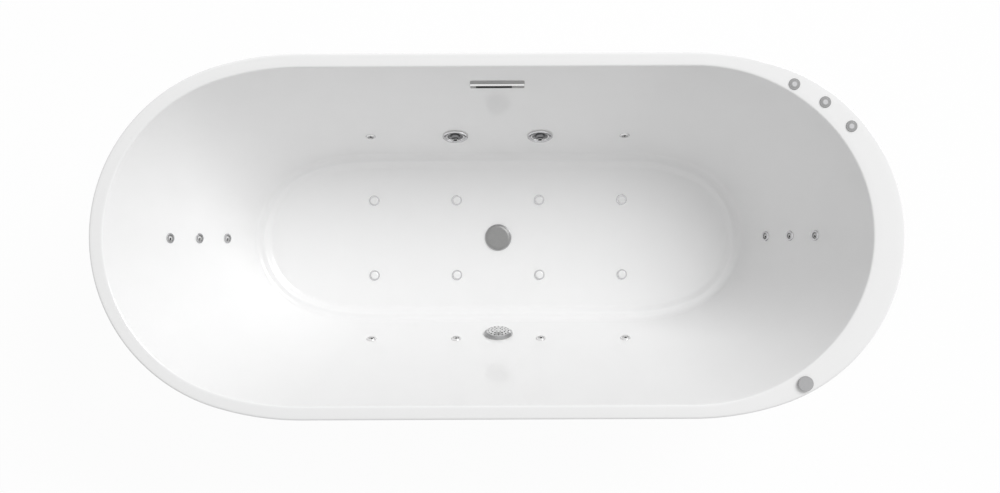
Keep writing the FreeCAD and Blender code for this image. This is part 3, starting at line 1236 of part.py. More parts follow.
def make_pump():
    """Centrifugal pump on the tray: its axis runs along Y, its inlet faces -Y."""
    front = Vector(d.pump_x, d.pump_front, d.pump_height)
    back = front + Vector(0, d.volute_length, 0)
    tray = d.tray_height + d.tray_sheet
    port = pump_port()
    wall, along = d.volute_wall, Vector(0, 1, 0)

    def drum(start, radius, length):
        return Part.makeCylinder(radius, length, start, along)

    casing = drum(front, d.volute_radius, d.volute_length)
    neck = drum(front - along * d.inlet_reach, d.suction_pipe_radius, d.inlet_reach + wall)
    tower = Part.makeCylinder(d.port_radius, port.z - d.pump_height,
                              Vector(port.x, port.y, d.pump_height))
    foot = Part.makeBox(d.volute_radius, d.volute_length * 0.6, d.pump_height - tray,
                        Vector(d.pump_x - d.volute_radius / 2,
                               d.pump_front + d.volute_length * 0.2, tray))
    space = drum(front + along * wall, d.volute_radius - wall, d.volute_length - 2 * wall)
    eye = drum(front - along * d.inlet_reach, d.suction_pipe_radius - d.pipe_wall,
               d.inlet_reach + 2 * wall)
    outlet = Part.makeCylinder(d.port_radius - d.pipe_wall, port.z - d.pump_height,
                               Vector(port.x, port.y, d.pump_height))
    shaft_hole = drum(back - along * 2 * wall, d.shaft_radius + d.slide_gap, 3 * wall)
    shape = casing.fuse([neck, tower, foot]).cut(Part.makeCompound([space]).fuse(
        [eye, outlet, shaft_hole]))
    keep(made("pump_volute", shape.removeSplitter()), "pump_volute")

    motor = drum(back, d.motor_radius, d.motor_length * 0.82)
    cowl = drum(back + along * d.motor_length * 0.82, d.motor_radius * 0.93,
                d.motor_length * 0.18)
    sole = Part.makeBox(d.motor_radius * 1.5, d.motor_length * 0.6, d.pump_height - tray,
                        Vector(d.pump_x - d.motor_radius * 0.75,
                               back.y + d.motor_length * 0.2, tray))
    bearing = drum(back, d.shaft_radius + d.slide_gap, d.motor_length * 0.5)
    shape = motor.fuse([cowl, sole]).cut(bearing)
    keep(made("pump_motor", shape.removeSplitter()), "pump_motor")

    web = 3 * wall
    disc = drum(front + along * web, d.impeller_radius, wall)
    hub = drum(front + along * web, d.shaft_radius * 2, 5 * wall)
    shaft = drum(front + along * web, d.shaft_radius,
                 d.volute_length - web + d.motor_length * 0.4)
    blades = []
    for number in range(6):
        blade = Part.makeBox(d.impeller_radius - d.shaft_radius * 2, 4, 4 * wall,
                             Vector(d.shaft_radius * 1.6, -2, 0))
        blade.Placement = Placement(front + along * web, Rotation(UP, along)).multiply(
            Placement(Vector(), Rotation(UP, 60 * number)))
        blades.append(blade)
    shape = disc.fuse([hub, shaft] + blades)
    keep(made("pump_impeller", shape.removeSplitter()), "pump_impeller")


def make_blower():
    """Air blower on the other tray, with its fan on an upright shaft."""
    tray = "(tray_height + tray_sheet)"
    scroll = cylinder("scroll", "scroll_radius", "scroll_height", ("blower_x", "0", tray))
    spigot = cylinder("scroll_outlet", "blower_hose_radius",
                      "scroll_radius + blower_hose_radius",
                      ("outlet_x", "0", tray + " + scroll_height / 2"), Vector(0, 1, 0))
    motor = cylinder("blower_motor", "blower_motor_radius", "blower_motor_height",
                     ("blower_x", "0", tray + " + scroll_height"))
    space = cylinder("scroll_space", "scroll_radius - scroll_wall",
                     "scroll_height - 2 * scroll_wall",
                     ("blower_x", "0", tray + " + scroll_wall"))
    throat = cylinder("scroll_throat", "blower_hose_radius - hose_wall",
                      "scroll_radius + 2 * blower_hose_radius",
                      ("outlet_x", "0", tray + " + scroll_height / 2"), Vector(0, 1, 0))
    bearing = cylinder("fan_bearing", "shaft_radius + slide_gap", "blower_motor_height",
                       ("blower_x", "0", tray + " + scroll_height - 2 * scroll_wall"))
    keep(cut("blower_housing", fuse("blower_solid", scroll, spigot, motor), space, throat,
             bearing), "blower_housing")

    base = Vector(d.blower_x, 0, value(tray) + 3 * d.scroll_wall)
    disc = Part.makeCylinder(d.fan_radius, d.scroll_wall, base)
    shaft = Part.makeCylinder(d.shaft_radius, d.scroll_height - 4 * d.scroll_wall
                              + d.blower_motor_height * 0.5, base)
    blades = []
    for number in range(12):
        blade = Part.makeBox(18, 2, d.scroll_height / 2,
                             Vector(d.fan_radius - 20, -1, 0))
        blade.Placement = Placement(base, Rotation(UP, 30 * number))
        blades.append(blade)
    shape = disc.fuse([shaft] + blades)
    keep(made("blower_fan", shape.removeSplitter()), "blower_fan")


def make_control_box():
    tray = "(tray_height + tray_sheet)"
    corner = ("box_centre_x - box_length / 2", "box_centre_y - box_width / 2", tray)
    outer = box("box_solid", corner, ("box_length", "box_width", "box_height"))
    inner = box("box_space", (corner[0] + " + box_wall", corner[1] + " + box_wall",
                              tray + " + box_wall"),
                ("box_length - 2 * box_wall", "box_width - 2 * box_wall", "box_height"))
    opening = cylinder("box_entry", "gland_radius", "3 * box_wall",
                       ("box_centre_x", "box_centre_y", tray + " - box_wall"))
    keep(cut("control_box", outer, inner, opening), "control_box")
    lid_top = tray + " + box_height"
    lid = box("lid_plate", (corner[0] + " - 1", corner[1] + " - 1", lid_top),
              ("box_length + 2", "box_width + 2", "lid_height"))
    plug = box("lid_plug", (corner[0] + " + box_wall + seat_gap",
                            corner[1] + " + box_wall + seat_gap", lid_top + " - 4"),
               ("box_length - 2 * box_wall - 2 * seat_gap",
                "box_width - 2 * box_wall - 2 * seat_gap", "4"))
    keep(fuse("control_lid", lid, plug), "control_lid")
    gland = turned("cable_gland", [
        ("gland_bore", "-gland_drop"), ("gland_radius - 2", "-gland_drop"),
        ("gland_radius - 0.3", "-gland_drop / 2"), ("gland_radius - 0.3", "box_wall"),
        ("gland_radius + 2", "box_wall"), ("gland_radius + 2", "box_wall + 3"),
        ("gland_bore", "box_wall + 3")])
    gland.Placement = at(d.box_centre_x, d.box_centre_y, value(tray))
    keep(gland, "cable_gland")


def write_pieces():
    """Checks every object of the document, then writes one file for each piece."""
    doc.recompute()
    for piece in doc.Objects:
        for state in ("Invalid", "Error"):
            if state in piece.State:
                raise RuntimeError("%s is %s" % (piece.Label, state))
    for piece in PIECES:
        if piece.Shape.isNull() or not piece.Shape.isValid() or not piece.Shape.Solids:
            raise RuntimeError("%s has no valid solid" % piece.Label)
    os.makedirs("parts", exist_ok=True)
    for piece in PIECES:
        piece.Shape.exportStep("parts/%s.step" % piece.Label)
    print("%d pieces" % len(PIECES))


make_bath_shell()
make_skirt()
make_frame()
make_trays()
make_waste()
make_overflow()
make_wall_jets()
make_wall_nuts()
make_suction()
make_floor_jets()
make_deck_fittings()
make_water_main()
make_air_pipe()
make_suction_pipe()
make_blower_hose(make_manifold())
make_pneumatic_tubes()
make_pump()
make_blower()
make_control_box()
write_pieces()
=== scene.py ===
"""Looks of the oval jetted bathtub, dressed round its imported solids.

Lengths are in metres, in the tub's own frame: the origin lies on the floor under the middle
of the rim, +X runs towards the wide deck, +Y towards the overflow and +Z up.
"""

from __future__ import annotations

import logging
import math
from collections.abc import Callable, Sequence
from dataclasses import dataclass, field
from enum import Enum

import bpy
import numpy as np
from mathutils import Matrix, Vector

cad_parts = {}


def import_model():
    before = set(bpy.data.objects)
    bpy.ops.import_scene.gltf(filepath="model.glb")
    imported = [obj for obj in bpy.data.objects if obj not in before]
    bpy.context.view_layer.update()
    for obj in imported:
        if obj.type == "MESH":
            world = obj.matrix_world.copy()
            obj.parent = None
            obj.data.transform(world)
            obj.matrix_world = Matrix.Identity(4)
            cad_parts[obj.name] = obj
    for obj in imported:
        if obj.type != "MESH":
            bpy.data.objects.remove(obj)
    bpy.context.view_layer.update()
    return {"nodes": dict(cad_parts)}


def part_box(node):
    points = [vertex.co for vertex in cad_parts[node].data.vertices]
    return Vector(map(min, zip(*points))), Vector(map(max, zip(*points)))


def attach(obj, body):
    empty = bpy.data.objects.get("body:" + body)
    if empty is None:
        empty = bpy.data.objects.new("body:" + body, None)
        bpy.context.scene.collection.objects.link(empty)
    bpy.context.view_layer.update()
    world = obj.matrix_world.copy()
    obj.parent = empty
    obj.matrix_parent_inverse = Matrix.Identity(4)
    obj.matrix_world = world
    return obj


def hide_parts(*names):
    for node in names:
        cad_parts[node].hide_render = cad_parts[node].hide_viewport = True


LOG = logging.getLogger("tub")
MM = 0.001
CRISP_DEGREES = 40.0
Rule = Callable[[np.ndarray, np.ndarray, np.ndarray], np.ndarray]


class Grain(Enum):
    """How the fine relief of a finish runs."""

    MOULDED = "even speckle"
    BRUSHED = "long scratches"
    SPUN = "rings about the piece's middle"
    TIMBER = "growth bands"


class Side(Enum):
    """Wall of the basin, with the level direction from it into the basin."""

    FAR = (0.0, -1.0)
    NEAR = (0.0, 1.0)
    LEFT = (1.0, 0.0)
    RIGHT = (-1.0, 0.0)


@dataclass(frozen=True)
class Finish:
    """Surface finish: colour, shine and the fine relief that breaks both up."""

    name: str
    colour: tuple[float, float, float]
    roughness: float
    metallic: float = 0.0
    coat: float = 0.0
    grain: Grain = Grain.MOULDED
    pitch: float = 60.0
    relief: float = 0.04
    mottle: float = 0.02
    coat_roughness: float = 0.04
    detail: float = 3.0
    relief_depth: float = 0.4 * MM
    band_share: float = 0.5
    band_waver: float = 6.0
    tint_span: tuple[float, float] = (0.3, 0.7)
    shine_span: tuple[float, float] = (0.85, 1.15)

    def material(self) -> bpy.types.Material:
        """Node material of this finish, made once.

        Returns:
            The material, from the file's data where it was already made.
        """
        if self.name in bpy.data.materials:
            return bpy.data.materials[self.name]
        made = bpy.data.materials.new(self.name)
        made.use_nodes = True
        made.diffuse_color = (*self.colour, 1.0)
        nodes, links = made.node_tree.nodes, made.node_tree.links
        shader = nodes["Principled BSDF"]
        shader.inputs["Metallic"].default_value = self.metallic
        shader.inputs["Coat Weight"].default_value = self.coat
        shader.inputs["Coat Roughness"].default_value = self.coat_roughness
        where = nodes.new("ShaderNodeTexCoord")
        lay = nodes.new("ShaderNodeMapping")
        lay.inputs["Scale"].default_value = self._stretch()
        links.new(where.outputs["Object"], lay.inputs["Vector"])
        speckle = nodes.new("ShaderNodeTexNoise")
        speckle.inputs["Scale"].default_value = self.pitch
        speckle.inputs["Detail"].default_value = self.detail
        links.new(lay.outputs["Vector"], speckle.inputs["Vector"])
        pattern = speckle.outputs["Fac"]
        if self.grain is Grain.TIMBER:
            pattern = self._bands(nodes, links, lay)
        self._tint(nodes, links, pattern, shader)
        self._shine(nodes, links, pattern, shader)
        bump = nodes.new("ShaderNodeBump")
        bump.inputs["Strength"].default_value = self.relief
        bump.inputs["Distance"].default_value = self.relief_depth
        links.new(pattern, bump.inputs["Height"])
        links.new(bump.outputs["Normal"], shader.inputs["Normal"])
        return made

    def _stretch(self) -> tuple[float, float, float]:
        """Stretch of the pattern.

        Returns:
            Scale of the pattern along X, Y and Z.
        """
        return {
            Grain.MOULDED: (1.0, 1.0, 1.0),
            Grain.BRUSHED: (0.08, 3.0, 3.0),
            Grain.SPUN: (2.0, 2.0, 0.1),
            Grain.TIMBER: (0.12, 1.0, 1.0),
        }[self.grain]

    def _bands(self, nodes: bpy.types.Nodes, links: bpy.types.NodeLinks,
               lay: bpy.types.Node) -> bpy.types.NodeSocket:
        """Growth bands: distorted waves across the board.

        Args:
            nodes: The material's nodes.
            links: The material's links.
            lay: The mapping node that the pattern follows.

        Returns:
            The socket that carries the pattern.
        """
        wave = nodes.new("ShaderNodeTexWave")
        wave.inputs["Scale"].default_value = self.pitch * self.band_share
        wave.inputs["Distortion"].default_value = self.band_waver
        wave.inputs["Detail"].default_value = self.detail
        links.new(lay.outputs["Vector"], wave.inputs["Vector"])
        return wave.outputs["Fac"]

    def _tint(self, nodes: bpy.types.Nodes, links: bpy.types.NodeLinks,
              pattern: bpy.types.NodeSocket, shader: bpy.types.Node) -> None:
        """Lets the colour drift about its mean with the pattern.

        Args:
            nodes: The material's nodes.
            links: The material's links.
            pattern: Socket that carries the pattern.
            shader: The material's shader node.
        """
        ramp = nodes.new("ShaderNodeValToRGB")
        low = tuple(max(0.0, c * (1.0 - self.mottle)) for c in self.colour)
        high = tuple(min(1.0, c * (1.0 + self.mottle)) for c in self.colour)
        for stop, colour, place in zip(ramp.color_ramp.elements, (low, high),
                                       self.tint_span):
            stop.color = (*colour, 1.0)
            stop.position = place
        links.new(pattern, ramp.inputs["Fac"])
        links.new(ramp.outputs["Color"], shader.inputs["Base Color"])

    def _shine(self, nodes: bpy.types.Nodes, links: bpy.types.NodeLinks,
               pattern: bpy.types.NodeSocket, shader: bpy.types.Node) -> None:
        """Lets the roughness drift about its mean with the pattern.

        Args:
            nodes: The material's nodes.
            links: The material's links.
            pattern: Socket that carries the pattern.
            shader: The material's shader node.
        """
        spread = nodes.new("ShaderNodeMapRange")
        low, high = self.shine_span
        spread.inputs["To Min"].default_value = self.roughness * low
        spread.inputs["To Max"].default_value = min(1.0, self.roughness * high)
        links.new(pattern, spread.inputs["Value"])
        links.new(spread.outputs["Result"], shader.inputs["Roughness"])


ACRYLIC = Finish("white_acrylic", (0.88, 0.88, 0.88), 0.16, coat=0.3, pitch=14.0,
                 relief=0.01, mottle=0.004)
SKIRT_ACRYLIC = Finish("skirt_acrylic", (0.86, 0.86, 0.855), 0.2, coat=0.25, pitch=12.0,
                       relief=0.012, mottle=0.005)
BRIGHT_CHROME = Finish("bright_chrome", (0.60, 0.60, 0.61), 0.16, 1.0, grain=Grain.SPUN,
                       pitch=240.0, relief=0.03, mottle=0.04)
PALE_CHROME = Finish("pale_chrome", (0.80, 0.80, 0.80), 0.2, 1.0, grain=Grain.SPUN,
                     pitch=240.0, relief=0.03, mottle=0.04)
BEZEL_CHROME = Finish("bezel_chrome", (0.33, 0.33, 0.332), 0.26, 1.0, grain=Grain.SPUN,
                      pitch=260.0, relief=0.05, mottle=0.05)
TRIM_CHROME = Finish("overflow_chrome", (0.30, 0.30, 0.297), 0.3, 1.0, grain=Grain.BRUSHED,
                     pitch=120.0, relief=0.06, mottle=0.05)
EYE_SATIN = Finish("eye_satin", (0.64, 0.64, 0.64), 0.3, coat=0.2, pitch=120.0, relief=0.03,
                   mottle=0.02)
# Black that stands in for the shade inside the small jets' bores and grooves and the overflow
# slot: painted shade.
PAINTED_SHADE_BLACK = Finish("painted_shade_black", (0.016, 0.016, 0.017), 0.6, pitch=400.0, relief=0.15,
                    mottle=0.1)
SATIN_CHROME = Finish("satin_chrome", (0.40, 0.40, 0.405), 0.3, 1.0, grain=Grain.SPUN,
                      pitch=300.0, relief=0.06, mottle=0.05)
# Dark chrome that stands in for shade: painted shade and a painted reflection on the large
# jets.
PAINTED_SHADE_CHROME = Finish("painted_shade_chrome", (0.20, 0.20, 0.205), 0.28, 1.0, grain=Grain.SPUN,
                     pitch=300.0, relief=0.05, mottle=0.05)
PLUG_STEEL = Finish("plug_steel", (0.27, 0.27, 0.268), 0.36, 1.0, grain=Grain.SPUN,
                    pitch=220.0, relief=0.06, mottle=0.05)
CAP_WHITE = Finish("air_cap_white", (0.86, 0.86, 0.86), 0.25, coat=0.2, pitch=90.0,
                   relief=0.02, mottle=0.01)
FITTING_WHITE = Finish("fitting_white", (0.70, 0.70, 0.68), 0.45, pitch=220.0, relief=0.12,
                       mottle=0.02)
PIPE_WHITE = Finish("pipe_white", (0.80, 0.80, 0.78), 0.38, pitch=160.0, relief=0.06,
                    mottle=0.02)
AIR_GREY = Finish("air_line_grey", (0.42, 0.47, 0.53), 0.42, pitch=160.0, relief=0.08,
                  mottle=0.03)
HOSE_GREY = Finish("hose_grey", (0.28, 0.29, 0.30), 0.5, pitch=200.0, relief=0.2, mottle=0.05)
TUBE_MILKY = Finish("milky_tube", (0.70, 0.73, 0.75), 0.3, coat=0.2, pitch=120.0, relief=0.05)
NUT_BLACK = Finish("nut_black", (0.035, 0.035, 0.038), 0.55, pitch=400.0, relief=0.2,
                   mottle=0.12)
SEAL_BLACK = Finish("seal_black", (0.02, 0.02, 0.02), 0.75, pitch=500.0, relief=0.25,
                    mottle=0.15)
PUMP_BLACK = Finish("pump_black", (0.03, 0.03, 0.033), 0.48, pitch=300.0, relief=0.2,
                    mottle=0.1)
MOTOR_GREY = Finish("motor_paint", (0.12, 0.14, 0.16), 0.42, 0.2, 0.15, pitch=260.0,
                    relief=0.14, mottle=0.06)
CASE_GREY = Finish("case_grey", (0.45, 0.46, 0.47), 0.4, pitch=220.0, relief=0.12,
                   mottle=0.03)
ZINC = Finish("zinc", (0.55, 0.56, 0.57), 0.36, 1.0, pitch=90.0, relief=0.08, mottle=0.1)
GALVANISED = Finish("galvanised", (0.50, 0.51, 0.52), 0.42, 1.0, grain=Grain.BRUSHED,
                    pitch=40.0, relief=0.1, mottle=0.12)
SEALED_BOARD = Finish("sealed_board", (0.45, 0.33, 0.19), 0.55, grain=Grain.TIMBER,
                      pitch=26.0, relief=0.2, mottle=0.18)

NODE_FINISHES: dict[Finish, tuple[str, ...]] = {
    BRIGHT_CHROME: ("jet_flanges", "air_jet_rings"),
    PALE_CHROME: ("micro_jet_rings", "suction_cover"),
    BEZEL_CHROME: ("button_bezels",),
    SATIN_CHROME: ("jet_face_left", "jet_face_right", "drain_flange", "air_knob"),
    # The nozzles' dark chrome is painted shade in the jets' openings.
    PAINTED_SHADE_CHROME: ("jet_nozzle_left", "jet_nozzle_right"),
    PLUG_STEEL: ("drain_cap",),
    CAP_WHITE: ("air_jet_caps",),
    FITTING_WHITE: ("jet_bodies", "micro_jet_bodies", "suction_body", "air_jet_bodies",
                    "air_control_body", "overflow_body", "drain_body", "trap"),
    PIPE_WHITE: ("water_main", "suction_pipe"),
    AIR_GREY: ("air_pipe", "air_manifold"),
    HOSE_GREY: ("overflow_hose", "blower_hose"),
    TUBE_MILKY: ("pneumatic_tubes",),
    NUT_BLACK: ("wall_nuts", "deck_nuts", "foot_pads"),
    SEAL_BLACK: ("drain_seal",),
    PUMP_BLACK: ("pump_volute", "pump_impeller", "blower_housing", "blower_fan"),
    MOTOR_GREY: ("pump_motor",),
    CASE_GREY: ("control_box", "control_lid", "cable_gland"),
    ZINC: ("frame_bolts", "foot_studs", "foot_nuts"),
    GALVANISED: ("frame_rails", "frame_cross_bars", "machine_trays"),
    SEALED_BOARD: ("base_board",),
}


def linked(name: str, data: bpy.types.ID) -> bpy.types.Object:
    """New object that carries some data, linked to the scene.

    Args:
        name: Name of the object.
        data: Its mesh, camera or lamp.

    Returns:
        The object.
    """
    made = bpy.data.objects.new(name, data)
    bpy.context.scene.collection.objects.link(made)
    return made


def joined(name: str, corners: np.ndarray, finish: Finish) -> bpy.types.Object:
    """Closed mesh on a grid of points that wraps round both ways.

    Each quad joins a point to its next ones along the grid's two directions.

    Args:
        name: Name of the piece.
        corners: Array of levels by points by three.
        finish: Finish of the piece.

    Returns:
        The new object, linked to the scene.
    """
    levels, around = corners.shape[:2]
    level, step = np.meshgrid(np.arange(levels), np.arange(around), indexing="ij")
    up, along = (level + 1) % levels, (step + 1) % around
    quads = np.stack([level * around + step, level * around + along,
                      up * around + along, up * around + step], axis=-1).reshape(-1, 4)
    flat = corners.reshape(-1, 3)
    a, b, c, d = (flat[quads[:, k]] for k in range(4))
    swept = np.cross(a - c, b - d)
    if float((swept * (a + b + c + d)).sum()) < 0.0:
        quads = quads[:, ::-1]
    mesh = bpy.data.meshes.new(name)
    mesh.from_pydata(flat.tolist(), [], quads.tolist())
    mesh.update()
    mesh.materials.append(finish.material())
    return linked(name, mesh)


def stacked(name: str, rings: np.ndarray, finishes: list[Finish], bands: np.ndarray,
            ends: tuple[int, int]) -> bpy.types.Object:
    """Closed mesh of rings stacked one on another, with a flat face over each end.

    Each quad joins a point to its next one along the ring and to the next ring.

    Args:
        name: Name of the piece.
        rings: Array of rings by points by three.
        finishes: Finishes of the piece.
        bands: Number of the finish between each ring and the next, as one row for each such
            band, with one column, or one for each point of a ring.
        ends: Number of the finish over the first ring and over the last.

    Returns:
        The new object, linked to the scene.
    """
    count, around = rings.shape[:2]
    level, step = np.meshgrid(np.arange(count - 1), np.arange(around), indexing="ij")
    along = (step + 1) % around
    quads = np.stack([level * around + step, level * around + along,
                      (level + 1) * around + along, (level + 1) * around + step],
                     axis=-1).reshape(-1, 4)
    faces = quads.tolist() + [list(range(around))[::-1],
                              list(range((count - 1) * around, count * around))]
    shade = np.append(np.broadcast_to(bands, (count - 1, around)), ends)
    mesh = bpy.data.meshes.new(name)
    mesh.from_pydata(rings.reshape(-1, 3).tolist(), [], faces)
    mesh.polygons.foreach_set("material_index", shade.astype(np.int32))
    for finish in finishes:
        mesh.materials.append(finish.material())
    mesh.update()
    return linked(name, mesh)


def circle(count: int) -> np.ndarray:
    """Points of a circle of radius one, by the cosine and sine of even turns.

    Args:
        count: Number of points.

    Returns:
        Array of points by two.
    """
    turn = np.linspace(0.0, 2 * math.pi, count, endpoint=False)
    return np.column_stack([np.cos(turn), np.sin(turn)])


def placed(points: np.ndarray, place: np.ndarray) -> np.ndarray:
    """Points carried from a frame's own axes to the tub's."""
    return points @ place[:3, :3].T + place[:3, 3]


def merged(name: str, pieces: list[bpy.types.Object]) -> bpy.types.Object:
    """One piece made of several that share their finishes.

    Args:
        name: Name of the piece.
        pieces: Pieces that are joined and removed.

    Returns:
        The new object, linked to the scene.
    """
    points, faces, shades = [], [], []
    for piece in pieces:
        start = len(points)
        points += [tuple(v.co) for v in piece.data.vertices]
        faces += [[start + v for v in face.vertices] for face in piece.data.polygons]
        shades += [face.material_index for face in piece.data.polygons]
    mesh = bpy.data.meshes.new(name)
    mesh.from_pydata(points, [], faces)
    mesh.polygons.foreach_set("material_index", np.array(shades, dtype=np.int32))
    for material in pieces[0].data.materials:
        mesh.materials.append(material)
    mesh.update()
    for piece in pieces:
        bpy.data.objects.remove(piece)
    made = linked(name, mesh)
    smooth(made)
    return made


def smooth(piece: bpy.types.Object, degrees: float = CRISP_DEGREES) -> None:
    """Shades a mesh smooth and keeps the edges sharper than an angle crisp.

    Args:
        piece: Object whose mesh is shaded.
        degrees: Angle above which an edge stays crisp.
    """
    piece.data.shade_smooth()
    piece.data.set_sharp_from_angle(angle=math.radians(degrees))


@dataclass(frozen=True)
class Oval:
    """Tub outline: straight sides, shoulder arcs and end arcs, each tangent to the next."""

    left: float
    right: float
    half_width: float
    left_shoulder: float
    left_end: float
    right_shoulder: float
    right_end: float

    def grown(self, side: float, left: float | None = None,
              right: float | None = None) -> Oval:
        """Outline moved outwards.

        Args:
            side: Distance at the sides, and the growth of each radius.
            left: Distance at the left end, the side's where not given.
            right: Distance at the right end, the side's where not given.

        Returns:
            The new outline.
        """
        return Oval(
            self.left + (side if left is None else left),
            self.right + (side if right is None else right),
            self.half_width + side, self.left_shoulder + side, self.left_end + side,
            self.right_shoulder + side, self.right_end + side)

    def points(self) -> np.ndarray:
        """Points round the outline, anticlockwise, evenly spread on each of its two halves.

        Returns:
            Array of points by two.
        """
        wide = self.half_width
        return np.concatenate([half_oval(self.right, wide, self.right_shoulder, self.right_end),
                               -half_oval(self.left, wide, self.left_shoulder, self.left_end)])

    def ring(self, height: float) -> np.ndarray:
        """Points of the outline at a height."""
        flat = self.points()
        return np.column_stack([flat, np.full(len(flat), height)])


def arc(x: float, y: float, radius: float, start: float, end: float, count: int) -> np.ndarray:
    """Points of a circle's arc, its last one left to the next curve.

    Args:
        x: Centre along X.
        y: Centre along Y.
        radius: Radius of the circle.
        start: First angle in radians.
        end: Last angle in radians.
        count: Number of points.

    Returns:
        Array of points by two.
    """
    turn = np.linspace(start, end, count, endpoint=False)
    return np.column_stack([x + radius * np.cos(turn), y + radius * np.sin(turn)])


def half_oval(reach: float, wide: float, shoulder: float, end: float,
              count: int = 160, fine: int = 200) -> np.ndarray:
    """Points of half an outline, from its near side's middle round the tip to its far side's.

    The shoulder turns by the angle whose cosine is (shoulder - wide) / (shoulder - end), and
    the end arc turns the rest. The points are at even shares of the curve's whole length.

    Args:
        reach: Distance of the tip from the middle.
        wide: Half width.
        shoulder: Radius of the shoulders.
        end: Radius of the end arc.
        count: Number of points.
        fine: Points of each shoulder that the curve's length is measured on.

    Returns:
        Array of points by two, its last one left to the other half.
    """
    quarter = math.pi / 2
    bend = math.acos((shoulder - wide) / (shoulder - end))
    tip_x = reach - end
    side_x = tip_x - (shoulder - end) * math.sin(bend)
    drop = wide - shoulder
    path = np.concatenate([
        [[0.0, -wide]],
        arc(side_x, -drop, shoulder, -quarter, bend - quarter, fine),
        arc(tip_x, 0.0, end, bend - quarter, quarter - bend, 2 * fine),
        arc(side_x, drop, shoulder, quarter - bend, quarter, fine),
        [[side_x, wide], [0.0, wide]],
    ])
    run = np.concatenate([[0.0], np.cumsum(np.linalg.norm(np.diff(path, axis=0), axis=1))])
    places = np.linspace(0.0, run[-1], count, endpoint=False)
    return np.column_stack([np.interp(places, run, path[:, k]) for k in range(2)])


